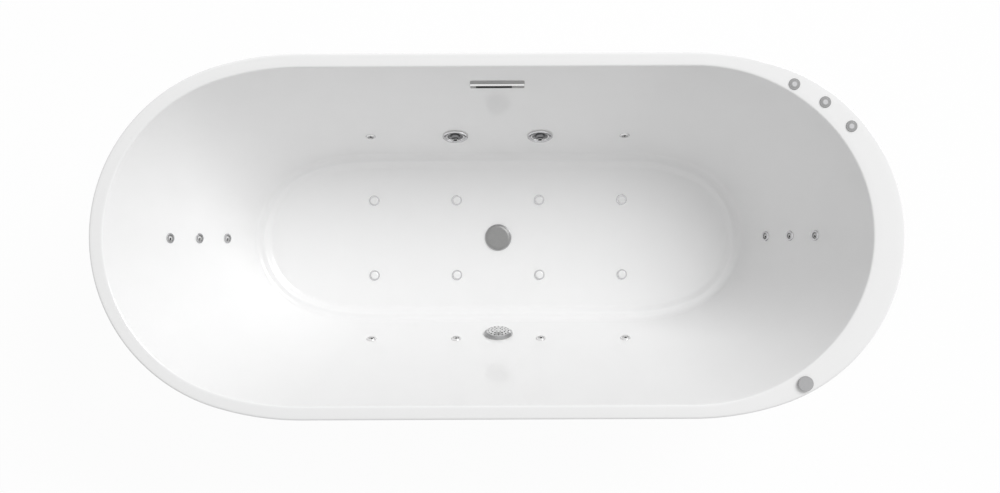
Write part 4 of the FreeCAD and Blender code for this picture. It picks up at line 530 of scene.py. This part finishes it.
@dataclass
class BathShell:
    """Moulded shell, as one closed skin from the lip over the basin to its underside."""

    height: float = 580 * MM
    wall: float = 6 * MM
    lip_drop: float = 32 * MM
    lip_wall: float = 4 * MM
    edge_round: float = 5 * MM
    floor: float = 150 * MM
    step: float = 10 * MM
    step_run: float = 14 * MM
    ledge_width: float = 17 * MM
    cove: float = 18 * MM
    ridge_round: float = 12 * MM
    floor_cove: float = 16 * MM
    drain_x: float = 2 * MM
    drain_hole: float = 24.5 * MM
    brow_gap: float = 8 * MM
    cove_gap: float = 14 * MM
    wall_levels: int = 16
    back_levels: int = 10
    ridge_levels: int = 6
    floor_levels: int = 7
    brow_turns: tuple[float, ...] = (0, 14, 28, 42, 56, 68.5)
    cove_turns: tuple[float, ...] = (68.5, 60, 51, 42, 33, 24, 15, 7, 0)
    under_turns: tuple[float, ...] = (0, 10, 20, 30, 40, 50, 60, 68.5)
    rim_turns: tuple[float, ...] = (90, 75, 60, 45, 30, 15, 0)
    quarters: tuple[float, ...] = (0.25, 0.5, 0.75)
    floor_shares: tuple[float, ...] = (0.1, 0.25, 0.45, 0.65, 0.85, 1.0)
    crisp: float = 32.0
    rim: Oval = field(default_factory=lambda: Oval(
        0.890, 0.890, 0.400, 0.630, 0.3885, 0.630, 0.3885))
    top: Oval = field(default_factory=lambda: Oval(
        0.860, 0.822, 0.370, 0.600, 0.3585, 0.400, 0.3515))
    ridge: Oval = field(default_factory=lambda: Oval(
        0.578, 0.584, 0.188, 0.400, 0.172, 0.400, 0.172))

    @property
    def ledge(self) -> Oval:
        """Outline where the wall's plane would meet the ledge."""
        return self.ridge.grown(self.ledge_width)

    @property
    def ledge_height(self) -> float:
        """Height of the ledge and of the ridge's top."""
        return self.floor + self.step

    def slopes(self) -> tuple[float, float, float]:
        """Outward run of the wall for each unit of height.

        Returns:
            The run at a side, at the left end and at the right end.
        """
        drop = self.height - self.ledge_height
        ledge = self.ledge
        return ((self.top.half_width - ledge.half_width) / drop,
                (self.top.left - ledge.left) / drop, (self.top.right - ledge.right) / drop)

    def wall_outline(self, rise: float, behind: float = 0.0) -> Oval:
        """Outline of the wall at a rise above the ledge.

        Args:
            rise: Height above the ledge.
            behind: Distance behind the inner face, square to it.

        Returns:
            The outline.
        """
        drop = self.height - self.ledge_height
        ledge = self.ledge
        share = rise / drop
        mixed = [a + (b - a) * share for a, b in zip(
            (ledge.left, ledge.right, ledge.half_width, ledge.left_shoulder, ledge.left_end,
             ledge.right_shoulder, ledge.right_end),
            (self.top.left, self.top.right, self.top.half_width, self.top.left_shoulder,
             self.top.left_end, self.top.right_shoulder, self.top.right_end))]
        side, left, right = (behind * math.hypot(1.0, lean) for lean in self.slopes())
        return Oval(*mixed).grown(side, left, right)

    def foot(self, base: Oval, rise: float) -> Oval:
        """Outline of the cove between a level face and the wall, at a rise above the face.

        The cove is a circle tangent to both. Its offset is R * (sqrt(1 - (1 - rise / R) ^ 2)
        - sqrt(1 + lean ^ 2) + lean), up to where it meets the wall's line, lean * rise.

        Args:
            base: Outline where the wall's plane would meet the face.
            rise: Height above the face.

        Returns:
            The outline.
        """
        offsets = []
        for lean in self.slopes():
            root = math.hypot(1.0, lean)
            if rise > self.cove * (1 - lean / root):
                offsets.append(lean * rise)
            else:
                half = math.sqrt(max(0.0, 1 - (1 - rise / self.cove) ** 2))
                offsets.append(self.cove * (half - root + lean))
        return base.grown(*offsets)

    def brow(self, fall: float) -> Oval:
        """Outline of the rounded edge between rim and wall, at a fall below the rim.

        The edge is a circle tangent to both: R * (sqrt(1 + lean ^ 2) - lean) less
        sqrt(R ^ 2 - (R - fall) ^ 2), down to where it meets the wall's line.

        Args:
            fall: Height below the rim.

        Returns:
            The outline.
        """
        radius = self.edge_round
        offsets = []
        for lean in self.slopes():
            root = math.hypot(1.0, lean)
            if fall > radius * (1 - lean / root):
                offsets.append(-lean * fall)
            else:
                half = math.sqrt(max(0.0, radius ** 2 - (radius - fall) ** 2))
                offsets.append(radius * (root - lean) - half)
        return self.top.grown(*offsets)

    def inside(self) -> list[np.ndarray]:
        """Inner skin from the rim's edge down to the edge of the floor.

        Returns:
            The rings, each an array of points by three.
        """
        rings = []
        for turn in np.radians(self.brow_turns):
            fall = self.edge_round * (1 - math.cos(turn))
            rings.append(self.brow(fall).ring(self.height - fall))
        high = self.height - self.ledge_height - self.brow_gap
        for rise in np.linspace(high, self.cove_gap, self.wall_levels):
            rings.append(self.wall_outline(rise).ring(self.ledge_height + rise))
        for turn in np.radians(self.cove_turns):
            rise = self.cove * (1 - math.cos(turn))
            rings.append(self.foot(self.ledge, rise).ring(self.ledge_height + rise))
        slope = math.atan2(self.step, self.step_run)
        reach = self.ridge_round * math.tan(slope / 2)
        for turn in np.linspace(0, slope, self.ridge_levels):
            out = reach - self.ridge_round * math.sin(turn)
            drop = self.ridge_round * (1 - math.cos(turn))
            rings.append(self.ridge.grown(out).ring(self.ledge_height - drop))
        reach = self.floor_cove * math.tan(slope / 2)
        low = self.ridge.grown(-self.step_run)
        for turn in np.linspace(slope, 0, self.floor_levels):
            out = self.floor_cove * math.sin(turn) - reach
            rise = self.floor_cove * (1 - math.cos(turn))
            rings.append(low.grown(out).ring(self.floor + rise))
        return rings

    def drain_ring(self, height: float) -> np.ndarray:
        """Points of the drain hole, each in line with the point of the floor's edge.

        Args:
            height: Height of the ring.

        Returns:
            Array of points by three.
        """
        edge = self.ridge.points() - np.array([self.drain_x, 0.0])
        turn = np.arctan2(edge[:, 1], edge[:, 0])
        return np.column_stack([self.drain_x + self.drain_hole * np.cos(turn),
                                self.drain_hole * np.sin(turn), np.full(len(turn), height)])

    def between(self, first: np.ndarray, last: np.ndarray,
                shares: tuple[float, ...]) -> list[np.ndarray]:
        """Rings at shares of the way from one ring to another."""
        return [first + (last - first) * share for share in shares]

    def outside(self) -> list[np.ndarray]:
        """Outer skin from the drain hole's lower edge, under the basin and lip, to the rim.

        Returns:
            The rings, each an array of points by three.
        """
        low = self.floor - self.wall
        under = self.wall_outline(low - self.ledge_height, self.wall)
        hole = self.drain_ring(low)
        rings = [hole]
        first = self.foot(under, 0.0).ring(low)
        rings += self.between(hole, first, self.quarters)
        for turn in np.radians(self.under_turns):
            rise = self.cove * (1 - math.cos(turn))
            rings.append(self.foot(under, rise).ring(low + rise))
        deck = self.height - self.wall
        for height in np.linspace(low + self.cove_gap, deck, self.back_levels):
            rings.append(self.wall_outline(height - self.ledge_height, self.wall).ring(height))
        lip = self.rim.grown(-self.lip_wall)
        rings += [lip.ring(deck), lip.ring(self.height - self.lip_drop),
                  self.rim.ring(self.height - self.lip_drop)]
        for turn in np.radians(self.rim_turns):
            out = self.edge_round * (math.sin(turn) - 1)
            drop = self.edge_round * (1 - math.cos(turn))
            rings.append(self.rim.grown(out).ring(self.height - drop))
        return rings

    def build(self, cutters: list[bpy.types.Object]) -> bpy.types.Object:
        """Makes the shell and cuts the holes of its fittings.

        Args:
            cutters: Closed pieces that are cut away and then removed.

        Returns:
            The shell.
        """
        inside, outside = self.inside(), self.outside()
        floor_edge, hole = inside[-1], self.drain_ring(self.floor)
        floor = self.between(floor_edge, hole, self.floor_shares)
        deck = self.between(outside[-1], inside[0], self.quarters)
        grid = np.stack(inside + floor + outside + deck)
        shell = joined("tub_shell", grid, ACRYLIC)
        for cutter in cutters:
            step = shell.modifiers.new("hole", "BOOLEAN")
            step.operation = "DIFFERENCE"
            step.solver = "EXACT"
            step.object = cutter
        graph = bpy.context.evaluated_depsgraph_get()
        cut = bpy.data.meshes.new_from_object(shell.evaluated_get(graph))
        shell.modifiers.clear()
        shell.data = cut
        for cutter in cutters:
            bpy.data.objects.remove(cutter)
        smooth(shell, self.crisp)
        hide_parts("bath_shell")
        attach(shell, "tub")
        return shell


@dataclass
class Fittings:
    """Places of the fittings on the basin and deck, and the holes they sit in."""

    shell: BathShell
    offset: float = 2 * MM
    pitch: float = 204 * MM
    columns: tuple[float, ...] = (-1.5, -0.5, 0.5, 1.5)
    side_depth: float = 320 * MM
    back_depth: float = 170 * MM
    back_pitch: float = 79.5 * MM
    suction_depth: float = 342 * MM
    overflow_depth: float = 76.5 * MM
    slot: tuple[float, float] = (92 * MM, 11 * MM)
    small_hole: float = 10 * MM
    jet_hole: float = 25.5 * MM
    suction_hole: float = 29.5 * MM
    air_hole: float = 8.5 * MM
    button_hole: float = 10.5 * MM
    control_hole: float = 11.5 * MM
    air_spread: float = 93 * MM
    air_share: float = 1.005
    deck_radius: float = 360 * MM
    control_radius: float = 365 * MM
    button_turns: tuple[float, ...] = (41.0, 53.4, 65.8)
    control_turn: float = -62.5
    cut_reach: float = 20 * MM
    cut_points: int = 48

    @property
    def across(self) -> list[float]:
        """Places of the four columns of jets along the tub."""
        return [self.offset + n * self.pitch for n in self.columns]

    def on_wall(self, side: Side, along: float, depth: float) -> np.ndarray:
        """Frame on the basin wall.

        The wall's direction into the basin is its level direction plus its lean times up,
        made unit length.

        Args:
            side: Wall that the frame is on.
            along: Distance along the wall from the tub's middle.
            depth: Depth below the rim.

        Returns:
            Four by four matrix whose third axis points into the basin.
        """
        lean, left, right = self.shell.slopes()
        reach = self.shell.top.half_width
        if side is Side.LEFT:
            lean, reach = left, self.shell.top.left
        if side is Side.RIGHT:
            lean, reach = right, self.shell.top.right
        level = np.array([*side.value, 0.0])
        up = np.array([0.0, 0.0, 1.0])
        normal = (level + up * lean) / math.hypot(1.0, lean)
        rise = (up - level * lean) / math.hypot(1.0, lean)
        place = np.eye(4)
        place[:3, 0], place[:3, 1], place[:3, 2] = np.cross(rise, normal), rise, normal
        across = np.array([0.0, along, 0.0])
        if side in (Side.FAR, Side.NEAR):
            across = np.array([along, 0.0, 0.0])
        place[:3, 3] = across - level * (reach - lean * depth)
        place[2, 3] = self.shell.height - depth
        return place

    def level(self, x: float, y: float, z: float) -> np.ndarray:
        """Upright frame at a point.

        Args:
            x: Place along the tub.
            y: Place across the tub.
            z: Height.

        Returns:
            Four by four matrix.
        """
        place = np.eye(4)
        place[:3, 3] = (x, y, z)
        return place

    def on_deck(self, radius: float, degrees: float) -> np.ndarray:
        """Upright frame on the deck, about the centre of the rim's right end arc.

        Args:
            radius: Distance from that centre.
            degrees: Turn about it from the tub's length.

        Returns:
            Four by four matrix.
        """
        turn = math.radians(degrees)
        centre = self.shell.rim.right - self.shell.rim.right_end
        return self.level(centre + radius * math.cos(turn), radius * math.sin(turn),
                          self.shell.height)

    def holes(self) -> list[tuple[np.ndarray, float]]:
        """Round holes of the fittings, the drain's left out.

        Returns:
            Frame and radius of each hole.
        """
        far = [(self.on_wall(Side.FAR, self.across[k], self.side_depth), self.small_hole)
               for k in (0, 3)]
        jets = [(self.on_wall(Side.FAR, self.across[k], self.side_depth), self.jet_hole)
                for k in (1, 2)]
        near = [(self.on_wall(Side.NEAR, x, self.side_depth), self.small_hole)
                for x in self.across]
        backs = [(self.on_wall(side, 0.0, self.back_depth + n * self.back_pitch),
                  self.small_hole) for side in (Side.LEFT, Side.RIGHT) for n in range(3)]
        intake = [(self.on_wall(Side.NEAR, self.offset, self.suction_depth),
                   self.suction_hole)]
        air = [(self.level(self.offset + n * self.pitch * self.air_share,
                           sign * self.air_spread, self.shell.floor), self.air_hole)
               for sign in (-1, 1) for n in self.columns]
        deck = [(self.on_deck(self.deck_radius, turn), self.button_hole)
                for turn in self.button_turns]
        control = [(self.on_deck(self.control_radius, self.control_turn),
                    self.control_hole)]
        return far + jets + near + backs + intake + air + deck + control

    def cutters(self) -> list[bpy.types.Object]:
        """Closed pieces to cut the fittings' holes with.

        Returns:
            One object with every round hole and one with the overflow slot.
        """
        count, reach = self.cut_points, self.cut_reach
        here = np.arange(count)
        after = (here + 1) % count
        sides = np.column_stack([here, after, after + count, here + count])
        corners, faces = [], []
        for place, radius in self.holes():
            start = len(corners) * 2 * count
            ends = [np.column_stack([circle(count) * radius, np.full(count, z)])
                    for z in (-reach, reach)]
            corners.append(placed(np.concatenate(ends), place))
            faces += (sides + start).tolist()
            faces += [(start + here[::-1]).tolist(), (start + count + here).tolist()]
        wide, tall = (whole / 2 for whole in self.slot)
        place = self.on_wall(Side.FAR, self.offset, self.overflow_depth)
        box = np.array([[x * wide, y * tall, z * reach] for z in (-1, 1)
                        for x, y in ((-1, -1), (1, -1), (1, 1), (-1, 1))])
        box_faces = [(3, 2, 1, 0), (4, 5, 6, 7), (0, 1, 5, 4), (1, 2, 6, 5), (2, 3, 7, 6),
                     (3, 0, 4, 7)]
        pieces = []
        for name, points, walls in (("round_holes", np.concatenate(corners), faces),
                                    ("slot_hole", placed(box, place), box_faces)):
            mesh = bpy.data.meshes.new(name)
            mesh.from_pydata(points.tolist(), [], walls)
            pieces.append(linked(name, mesh))
        return pieces


@dataclass
class Skirt:
    """Outer apron that draws in towards the floor."""

    rim: Oval
    foot: float = 3 * MM
    head: float = 574 * MM
    gap: float = 4.3 * MM
    inset: float = 62 * MM
    draw: float = 30 * MM
    wall: float = 4 * MM
    levels: int = 24

    def ring(self, share: float, inset: float) -> np.ndarray:
        """Ring at a share of the height: the inset grows with the square of the fall.

        Args:
            share: Share of the way from foot to head.
            inset: Further inset, the wall's thickness on the inner face.

        Returns:
            Array of points by three.
        """
        fall = (1.0 - share) ** 2
        side = -(self.gap + inset + self.inset * fall)
        end = side - self.draw * fall
        height = self.foot + (self.head - self.foot) * share
        return self.rim.grown(side, end, end).ring(height)

    def build(self) -> bpy.types.Object:
        """Makes the apron as one closed skin, outer face up and inner face down.

        Returns:
            The apron.
        """
        shares = np.linspace(0.0, 1.0, self.levels)
        outer = [self.ring(share, 0.0) for share in shares]
        inner = [self.ring(share, self.wall) for share in shares[::-1]]
        apron = joined("tub_apron", np.stack(outer + inner), SKIRT_ACRYLIC)
        smooth(apron)
        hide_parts("outer_skirt")
        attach(apron, "tub")
        return apron


@dataclass
class OverflowTrim:
    """Overflow plate, its lip's pale chrome a painted highlight and the slot below it in black
    painted shade.
    """

    fittings: Fittings
    half_width: float = 60.5 * MM
    corner: float = 3 * MM
    slot_left: float = -48 * MM
    slot_right: float = 33 * MM
    slot_depth: float = 1.2 * MM
    slot_edge: float = 0.2 * MM
    slot_stations: tuple[int, int] = (5, 6)
    slot_span: tuple[int, int] = (3, 6)
    painted_highlight_span: tuple[int, int] = (6, 12)
    seat: float = 0.3 * MM
    crisp: float = 35.0

    def section(self) -> np.ndarray:
        """Section across the trim: the plate with the slot's edges, the lip and the top edge.

        Returns:
            Array of points by two: the way up the wall and the way out of it.
        """
        return np.array([
            [-16.2, 0.2], [-16.2, 1.2], [-15.8, 1.6], [-15.2, 1.6], [-15.0, 1.6],
            [-4.2, 1.6], [-4.0, 1.6], [-1.2, 3.6], [0.4, 4.7], [1.6, 4.9], [2.8, 4.5],
            [3.8, 3.4], [4.8, 2.4], [6.2, 2.0], [15.2, 2.0], [16.2, 1.4], [16.5, 0.2]]) * MM

    def stations(self) -> tuple[np.ndarray, np.ndarray]:
        """Places along the trim where its section stands, closer at the ends and the slot.

        They run from right to left, so that the faces between them point outwards.

        Returns:
            The places, and the scale of the section at each.
        """
        ends = np.array([0.0, 0.3 * MM, 1.2 * MM, self.corner])
        drawn_in = np.array([0.9, 0.95, 0.985, 1.0])
        slot = [self.slot_left, self.slot_left + self.slot_edge,
                self.slot_right - self.slot_edge, self.slot_right]
        places = np.concatenate([ends - self.half_width, slot, (self.half_width - ends)[::-1]])
        scales = np.concatenate([drawn_in, np.ones(len(slot)), drawn_in[::-1]])
        return places[::-1], scales

    def build(self) -> bpy.types.Object:
        """Makes the trim: its section carried along the wall, drawn in over each end's corner.

        Returns:
            The trim.
        """
        section = self.section()
        middle = section.mean(axis=0)
        rings = []
        for number, (spot, scale) in enumerate(zip(*self.stations())):
            row = middle + (section - middle) * [scale, 1.0]
            row[:, 1] = np.where(row[:, 1] > self.seat, row[:, 1] * scale, row[:, 1])
            if number in self.slot_stations:
                row[self.slot_span[0] + 1:self.slot_span[1], 1] -= self.slot_depth
            rings.append(np.column_stack([np.full(len(row), spot), row]))
        shade = np.zeros((len(rings) - 1, len(section)), dtype=np.int32)
        # Pale chrome on the lip is a painted highlight, and black on the slot's floor and sides
        # is painted shade.
        shade[:, slice(*self.painted_highlight_span)] = 1
        shade[self.slot_stations[0], slice(*self.slot_span)] = 2
        place = self.fittings.on_wall(Side.FAR, self.fittings.offset,
                                      self.fittings.overflow_depth)
        trim = stacked("overflow_cover", placed(np.stack(rings), place),
                       [TRIM_CHROME, PALE_CHROME, PAINTED_SHADE_BLACK], shade, (0, 0))
        smooth(trim, self.crisp)
        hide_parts("overflow_trim")
        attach(trim, "tub")
        return trim


@dataclass
class SmallEyes:
    """Nozzles of the small jets, with black painted shade in each bore and in the groove round
    it.
    """

    fittings: Fittings
    radius: float = 6.9 * MM
    face: float = 5.4 * MM
    front: float = 2.2 * MM
    back: float = -11.6 * MM
    side_bore: float = 3.1 * MM
    back_bore: float = 2.0 * MM
    back_offset: float = -1.8 * MM
    points: int = 40
    # The groove's band, the bore's two bands and the bore's end take black painted shade.
    bands: tuple[int, ...] = (0, 1, 0, 0, 0, 0, 1, 1)

    def rings(self, place: np.ndarray, bore: float, shift: float) -> np.ndarray:
        """Rings of one nozzle: a stack of circles whose middles drift to the bore's.

        The table below gives each circle's radius, its height above the wall and the drift
        of its middle: the shank, the groove, the rounded face, the funnel and the bore.

        Args:
            place: Frame on the wall.
            bore: Radius of the bore.
            shift: Distance of the bore from the nozzle's middle, down the wall's level line.

        Returns:
            Array of rings by points by three.
        """
        steps = np.array([
            [self.radius, self.back, 0.0], [self.radius, -1.2 * MM, 0.0],
            [self.face, -1.0 * MM, 0.0], [self.face, self.front - 1.2 * MM, 0.0],
            [self.face - 0.3 * MM, self.front - 0.5 * MM, 0.0],
            [self.face - 1.0 * MM, self.front, 0.1 * shift],
            [bore + 0.5 * MM, self.front - 0.3 * MM, 0.9 * shift],
            [bore, self.front - 0.8 * MM, shift], [bore, -4.0 * MM, shift]])
        stack = np.empty((len(steps), self.points, 3))
        stack[:, :, :2] = steps[:, :1, None] * circle(self.points)
        stack[:, :, 0] += steps[:, 2:]
        stack[:, :, 2] = steps[:, 1:2]
        return placed(stack, place)

    def build(self) -> int:
        """Makes every nozzle.

        Returns:
            The number of pieces made.
        """
        fit = self.fittings
        walls = [(Side.FAR, fit.across[0]), (Side.FAR, fit.across[3])]
        walls += [(Side.NEAR, x) for x in fit.across]
        bands, ends = np.array(self.bands)[:, None], (0, 1)
        fixed = [stacked("side_eye", self.rings(fit.on_wall(side, x, fit.side_depth),
                                                self.side_bore, 0.0),
                         [CAP_WHITE, PAINTED_SHADE_BLACK], bands, ends) for side, x in walls]
        mesh = merged("side_eyes", fixed)
        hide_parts("side_jet_nozzles")
        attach(mesh, "tub")
        count = 1
        for side, word, sign in ((Side.LEFT, "left", 1.0), (Side.RIGHT, "right", -1.0)):
            for number, level in enumerate(("upper", "middle", "lower")):
                depth = fit.back_depth + number * fit.back_pitch
                name = f"back_jet_{word}_{level}"
                eye = stacked(f"{name}_eye",
                              self.rings(fit.on_wall(side, 0.0, depth), self.back_bore,
                                         sign * self.back_offset),
                              [EYE_SATIN, PAINTED_SHADE_BLACK], bands, ends)
                smooth(eye)
                count += 1
                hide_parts(name)
                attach(eye, f"{name}_body")
        return count


@dataclass
class DeckButtons:
    """Push buttons: a grey collar round a dished middle, whose brighter chrome is a painted
    highlight.
    """

    dish: float = 5.4 * MM
    dish_depth: float = 0.4 * MM
    edge: float = 0.6 * MM
    points: int = 56

    def build(self) -> int:
        """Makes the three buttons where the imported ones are.

        The table below gives the radius and height of each circle: side, rounded edge and
        dish.

        Returns:
            The number of buttons.
        """
        names = ("button_front", "button_middle", "button_rear")
        for name in names:
            low, high = (np.array(corner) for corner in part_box(name))
            middle, radius, top = (low + high) / 2, (high[0] - low[0]) / 2, high[2]
            steps = np.array([
                [radius, low[2]], [radius, top - self.edge],
                [radius - 0.1 * self.edge, top - 0.4 * self.edge],
                [radius - 0.5 * self.edge, top], [self.dish, top],
                [self.dish, top - self.dish_depth]])
            rings = np.stack([np.column_stack([
                middle[:2] + out * circle(self.points), np.full(self.points, height)])
                for out, height in steps])
            collar = np.zeros((len(steps) - 1, 1))
            # The middle's brighter chrome is a painted highlight.
            button = stacked(f"{name}_cap", rings, [BEZEL_CHROME, BRIGHT_CHROME], collar,
                             (0, 1))
            smooth(button)
            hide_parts(name)
            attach(button, f"{name}_body")
        return len(names)


@dataclass
class PaintedShadeAndHighlights:
    """Other chrome tones on chosen faces of the kept solids, mostly painted shade and painted
    highlights.
    """

    nodes: dict[str, bpy.types.Object]
    fittings: Fittings
    reach: float = 40 * MM
    flange_reach: float = 28 * MM
    flange_rise: float = 5 * MM
    face_edge: float = 19 * MM
    face_front: float = 2.6 * MM
    face_back: float = -1 * MM
    nozzle_front: float = 10.4 * MM
    nozzle_bore: float = 5.2 * MM
    cover_edge: float = 28.5 * MM
    cover_front: float = 9.8 * MM
    ring_reach: float = 14 * MM

    def pick(self, name: str, place: np.ndarray, finish: Finish, rule: Rule) -> int:
        """Gives the faces that a rule picks another chrome tone, for the painted shade and
        painted highlights.

        Args:
            name: Node of the solid.
            place: Frame whose third axis is the fitting's own.
            finish: The faces' new chrome tone.
            rule: Picks faces by distance from the axis, height and rise up the wall.

        Returns:
            The number of faces picked.
        """
        piece = self.nodes[name]
        mesh = piece.data
        middles = np.empty(3 * len(mesh.polygons))
        mesh.polygons.foreach_get("center", middles)
        world = np.array(piece.matrix_world)
        points = placed(middles.reshape(-1, 3), world)
        local = (points - place[:3, 3]) @ place[:3, :3]
        out = np.hypot(local[:, 0], local[:, 1])
        picked = rule(out, local[:, 2], local[:, 1]) & (out < self.reach)
        shade = np.empty(len(mesh.polygons), dtype=np.int32)
        mesh.polygons.foreach_get("material_index", shade)
        shade[picked] = len(mesh.materials)
        mesh.materials.append(finish.material())
        mesh.polygons.foreach_set("material_index", shade)
        return int(picked.sum())

    def build(self) -> int:
        """Paints other chrome tones on the large jets, the intake's cover and the rings on the
        back walls: painted shade and painted highlights on the jets, and painted shade on the
        rings.

        Returns:
            The number of faces picked.
        """
        fit = self.fittings
        count = 0
        for word, share in (("left", -0.5), ("right", 0.5)):
            place = fit.on_wall(Side.FAR, fit.offset + share * fit.pitch, fit.side_depth)
            # Dark chrome on the upper part of each flange is a painted reflection.
            count += self.pick("jet_flanges", place, PAINTED_SHADE_CHROME,
                               lambda out, up, rise: (out < self.flange_reach)
                               & (rise > self.flange_rise))
            # Pale chrome on the face's front lip is a painted highlight.
            count += self.pick(f"jet_face_{word}", place, PALE_CHROME,
                               lambda out, up, rise: (out > self.face_edge)
                               & (up > self.face_front))
            # Dark chrome inside the face's edge is painted shade.
            count += self.pick(f"jet_face_{word}", place, PAINTED_SHADE_CHROME,
                               lambda out, up, rise: (out < self.face_edge)
                               & (up > self.face_back))
            # Pale chrome on the nozzle's tip and bore is a painted highlight.
            count += self.pick(f"jet_nozzle_{word}", place, PALE_CHROME,
                               lambda out, up, rise: (up > self.nozzle_front)
                               | (out < self.nozzle_bore))
        intake = fit.on_wall(Side.NEAR, fit.offset, fit.suction_depth)
        # Darker chrome on the cover's outer side, low down.
        count += self.pick("suction_cover", intake, SATIN_CHROME,
                           lambda out, up, rise: (out > self.cover_edge)
                           & (up < self.cover_front))
        for side in (Side.LEFT, Side.RIGHT):
            for number in range(3):
                place = fit.on_wall(side, 0.0, fit.back_depth + number * fit.back_pitch)
                # The rings on the back walls take a darker chrome than the same rings on the
                # side walls: painted shade.
                count += self.pick("micro_jet_rings", place, BRIGHT_CHROME,
                                   lambda out, up, rise: out < self.ring_reach)
        return count


@dataclass
class Dressing:
    """Finishes of the solids that are kept as they are."""

    nodes: dict[str, bpy.types.Object]

    def build(self) -> int:
        """Gives each kept solid its finish.

        Returns:
            The number of solids dressed.
        """
        count = 0
        for finish, names in NODE_FINISHES.items():
            for name in names:
                for slot in self.nodes[name].material_slots:
                    slot.material = finish.material()
                count += 1
        return count


@dataclass
class Studio:
    """Camera, floor and light."""

    camera_place: tuple[float, float, float] = (0.0065, -0.0224, 3.58)
    lens: float = 49.6
    roll: float = 0.25
    floor_reach: float = 30.0
    floor_glow: float = 0.95
    ambient: float = 0.51
    key_power: float = 2600.0
    key_direction: tuple[float, float, float] = (0.52, 0.485, 0.703)
    key_distance: float = 20.0
    key_size: float = 11.0
    key_aim: float = 0.4
    sensor: float = 36.0
    floor_pale: float = 0.86
    floor_roughness: float = 0.9

    def camera(self) -> None:
        """Camera that looks straight down on the rim."""
        data = bpy.data.cameras.new("overhead")
        data.lens = self.lens
        data.sensor_width = self.sensor
        camera = linked("overhead", data)
        camera.location = self.camera_place
        camera.rotation_euler = (0.0, 0.0, -math.radians(self.roll))
        bpy.context.scene.camera = camera

    def seen(self, nodes: bpy.types.Nodes,
             links: bpy.types.NodeLinks) -> bpy.types.NodeSocket:
        """One where the camera or a gloss looks, nought for the light itself.

        Args:
            nodes: Nodes of the world or of a material.
            links: Their links.

        Returns:
            The socket that carries it.
        """
        rays = nodes.new("ShaderNodeLightPath")
        either = nodes.new("ShaderNodeMath")
        either.operation = "MAXIMUM"
        links.new(rays.outputs["Is Camera Ray"], either.inputs[0])
        links.new(rays.outputs["Is Glossy Ray"], either.inputs[1])
        return either.outputs["Value"]

    def world(self) -> None:
        """Plain surroundings: even light, and white where the camera or gloss sees them."""
        world = bpy.data.worlds.new("surroundings")
        world.use_nodes = True
        bpy.context.scene.world = world
        nodes, links = world.node_tree.nodes, world.node_tree.links
        back = nodes["Background"]
        back.inputs["Color"].default_value = (1.0, 1.0, 1.0, 1.0)
        back.inputs["Strength"].default_value = self.ambient
        white = nodes.new("ShaderNodeBackground")
        white.inputs["Color"].default_value = (1.0, 1.0, 1.0, 1.0)
        white.inputs["Strength"].default_value = 1.0
        mix = nodes.new("ShaderNodeMixShader")
        links.new(self.seen(nodes, links), mix.inputs["Fac"])
        links.new(back.outputs["Background"], mix.inputs[1])
        links.new(white.outputs["Background"], mix.inputs[2])
        links.new(mix.outputs["Shader"], nodes["World Output"].inputs["Surface"])

    def floor(self) -> None:
        """Pale level floor that keeps a soft shadow."""
        reach = self.floor_reach
        mesh = bpy.data.meshes.new("studio_floor")
        corners = [(-reach, -reach, 0), (reach, -reach, 0), (reach, reach, 0),
                   (-reach, reach, 0)]
        mesh.from_pydata(corners, [], [(0, 1, 2, 3)])
        floor = linked("studio_floor", mesh)
        pale = bpy.data.materials.new("studio_floor")
        pale.use_nodes = True
        nodes, links = pale.node_tree.nodes, pale.node_tree.links
        matt = nodes["Principled BSDF"]
        matt.inputs["Base Color"].default_value = (*[self.floor_pale] * 3, 1.0)
        matt.inputs["Roughness"].default_value = self.floor_roughness
        glow = nodes.new("ShaderNodeEmission")
        glow.inputs["Strength"].default_value = 1.0
        share = nodes.new("ShaderNodeMath")
        share.operation = "MULTIPLY"
        share.inputs[1].default_value = self.floor_glow
        links.new(self.seen(nodes, links), share.inputs[0])
        mix = nodes.new("ShaderNodeMixShader")
        links.new(share.outputs["Value"], mix.inputs["Fac"])
        links.new(matt.outputs["BSDF"], mix.inputs[1])
        links.new(glow.outputs["Emission"], mix.inputs[2])
        links.new(mix.outputs["Shader"], nodes["Material Output"].inputs["Surface"])
        mesh.materials.append(pale)

    def light(self) -> None:
        """One broad soft key from the overflow side and the deck end."""
        data = bpy.data.lights.new("key", "AREA")
        data.shape = "DISK"
        data.size = self.key_size
        data.energy = self.key_power
        key = linked("key", data)
        direction = np.array(self.key_direction) / np.linalg.norm(self.key_direction)
        place = direction * self.key_distance + np.array([0.0, 0.0, self.key_aim])
        key.location = place.tolist()
        tilt = math.acos(direction[2])
        heading = math.atan2(direction[1], direction[0])
        key.rotation_euler = (0.0, tilt, heading)

    def build(self) -> None:
        """Sets the whole studio up."""
        self.camera()
        self.world()
        self.floor()
        self.light()
        bpy.context.scene.view_settings.view_transform = "Standard"


def main() -> None:
    """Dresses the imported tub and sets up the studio."""
    logging.basicConfig(level=logging.INFO, format="%(message)s")
    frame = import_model()
    Studio().build()
    shell = BathShell()
    fittings = Fittings(shell)
    tub = shell.build(fittings.cutters())
    LOG.info("%s: %d faces", tub.name, len(tub.data.polygons))
    apron = Skirt(shell.rim).build()
    LOG.info("%s: %d faces", apron.name, len(apron.data.polygons))
    LOG.info("%s made", OverflowTrim(fittings).build().name)
    LOG.info("%d pieces of nozzles", SmallEyes(fittings).build())
    LOG.info("%d buttons", DeckButtons().build())
    LOG.info("%d solids dressed", Dressing(frame["nodes"]).build())
    LOG.info("%d faces picked", PaintedShadeAndHighlights(frame["nodes"], fittings).build())


if __name__ == "__main__":
    main()
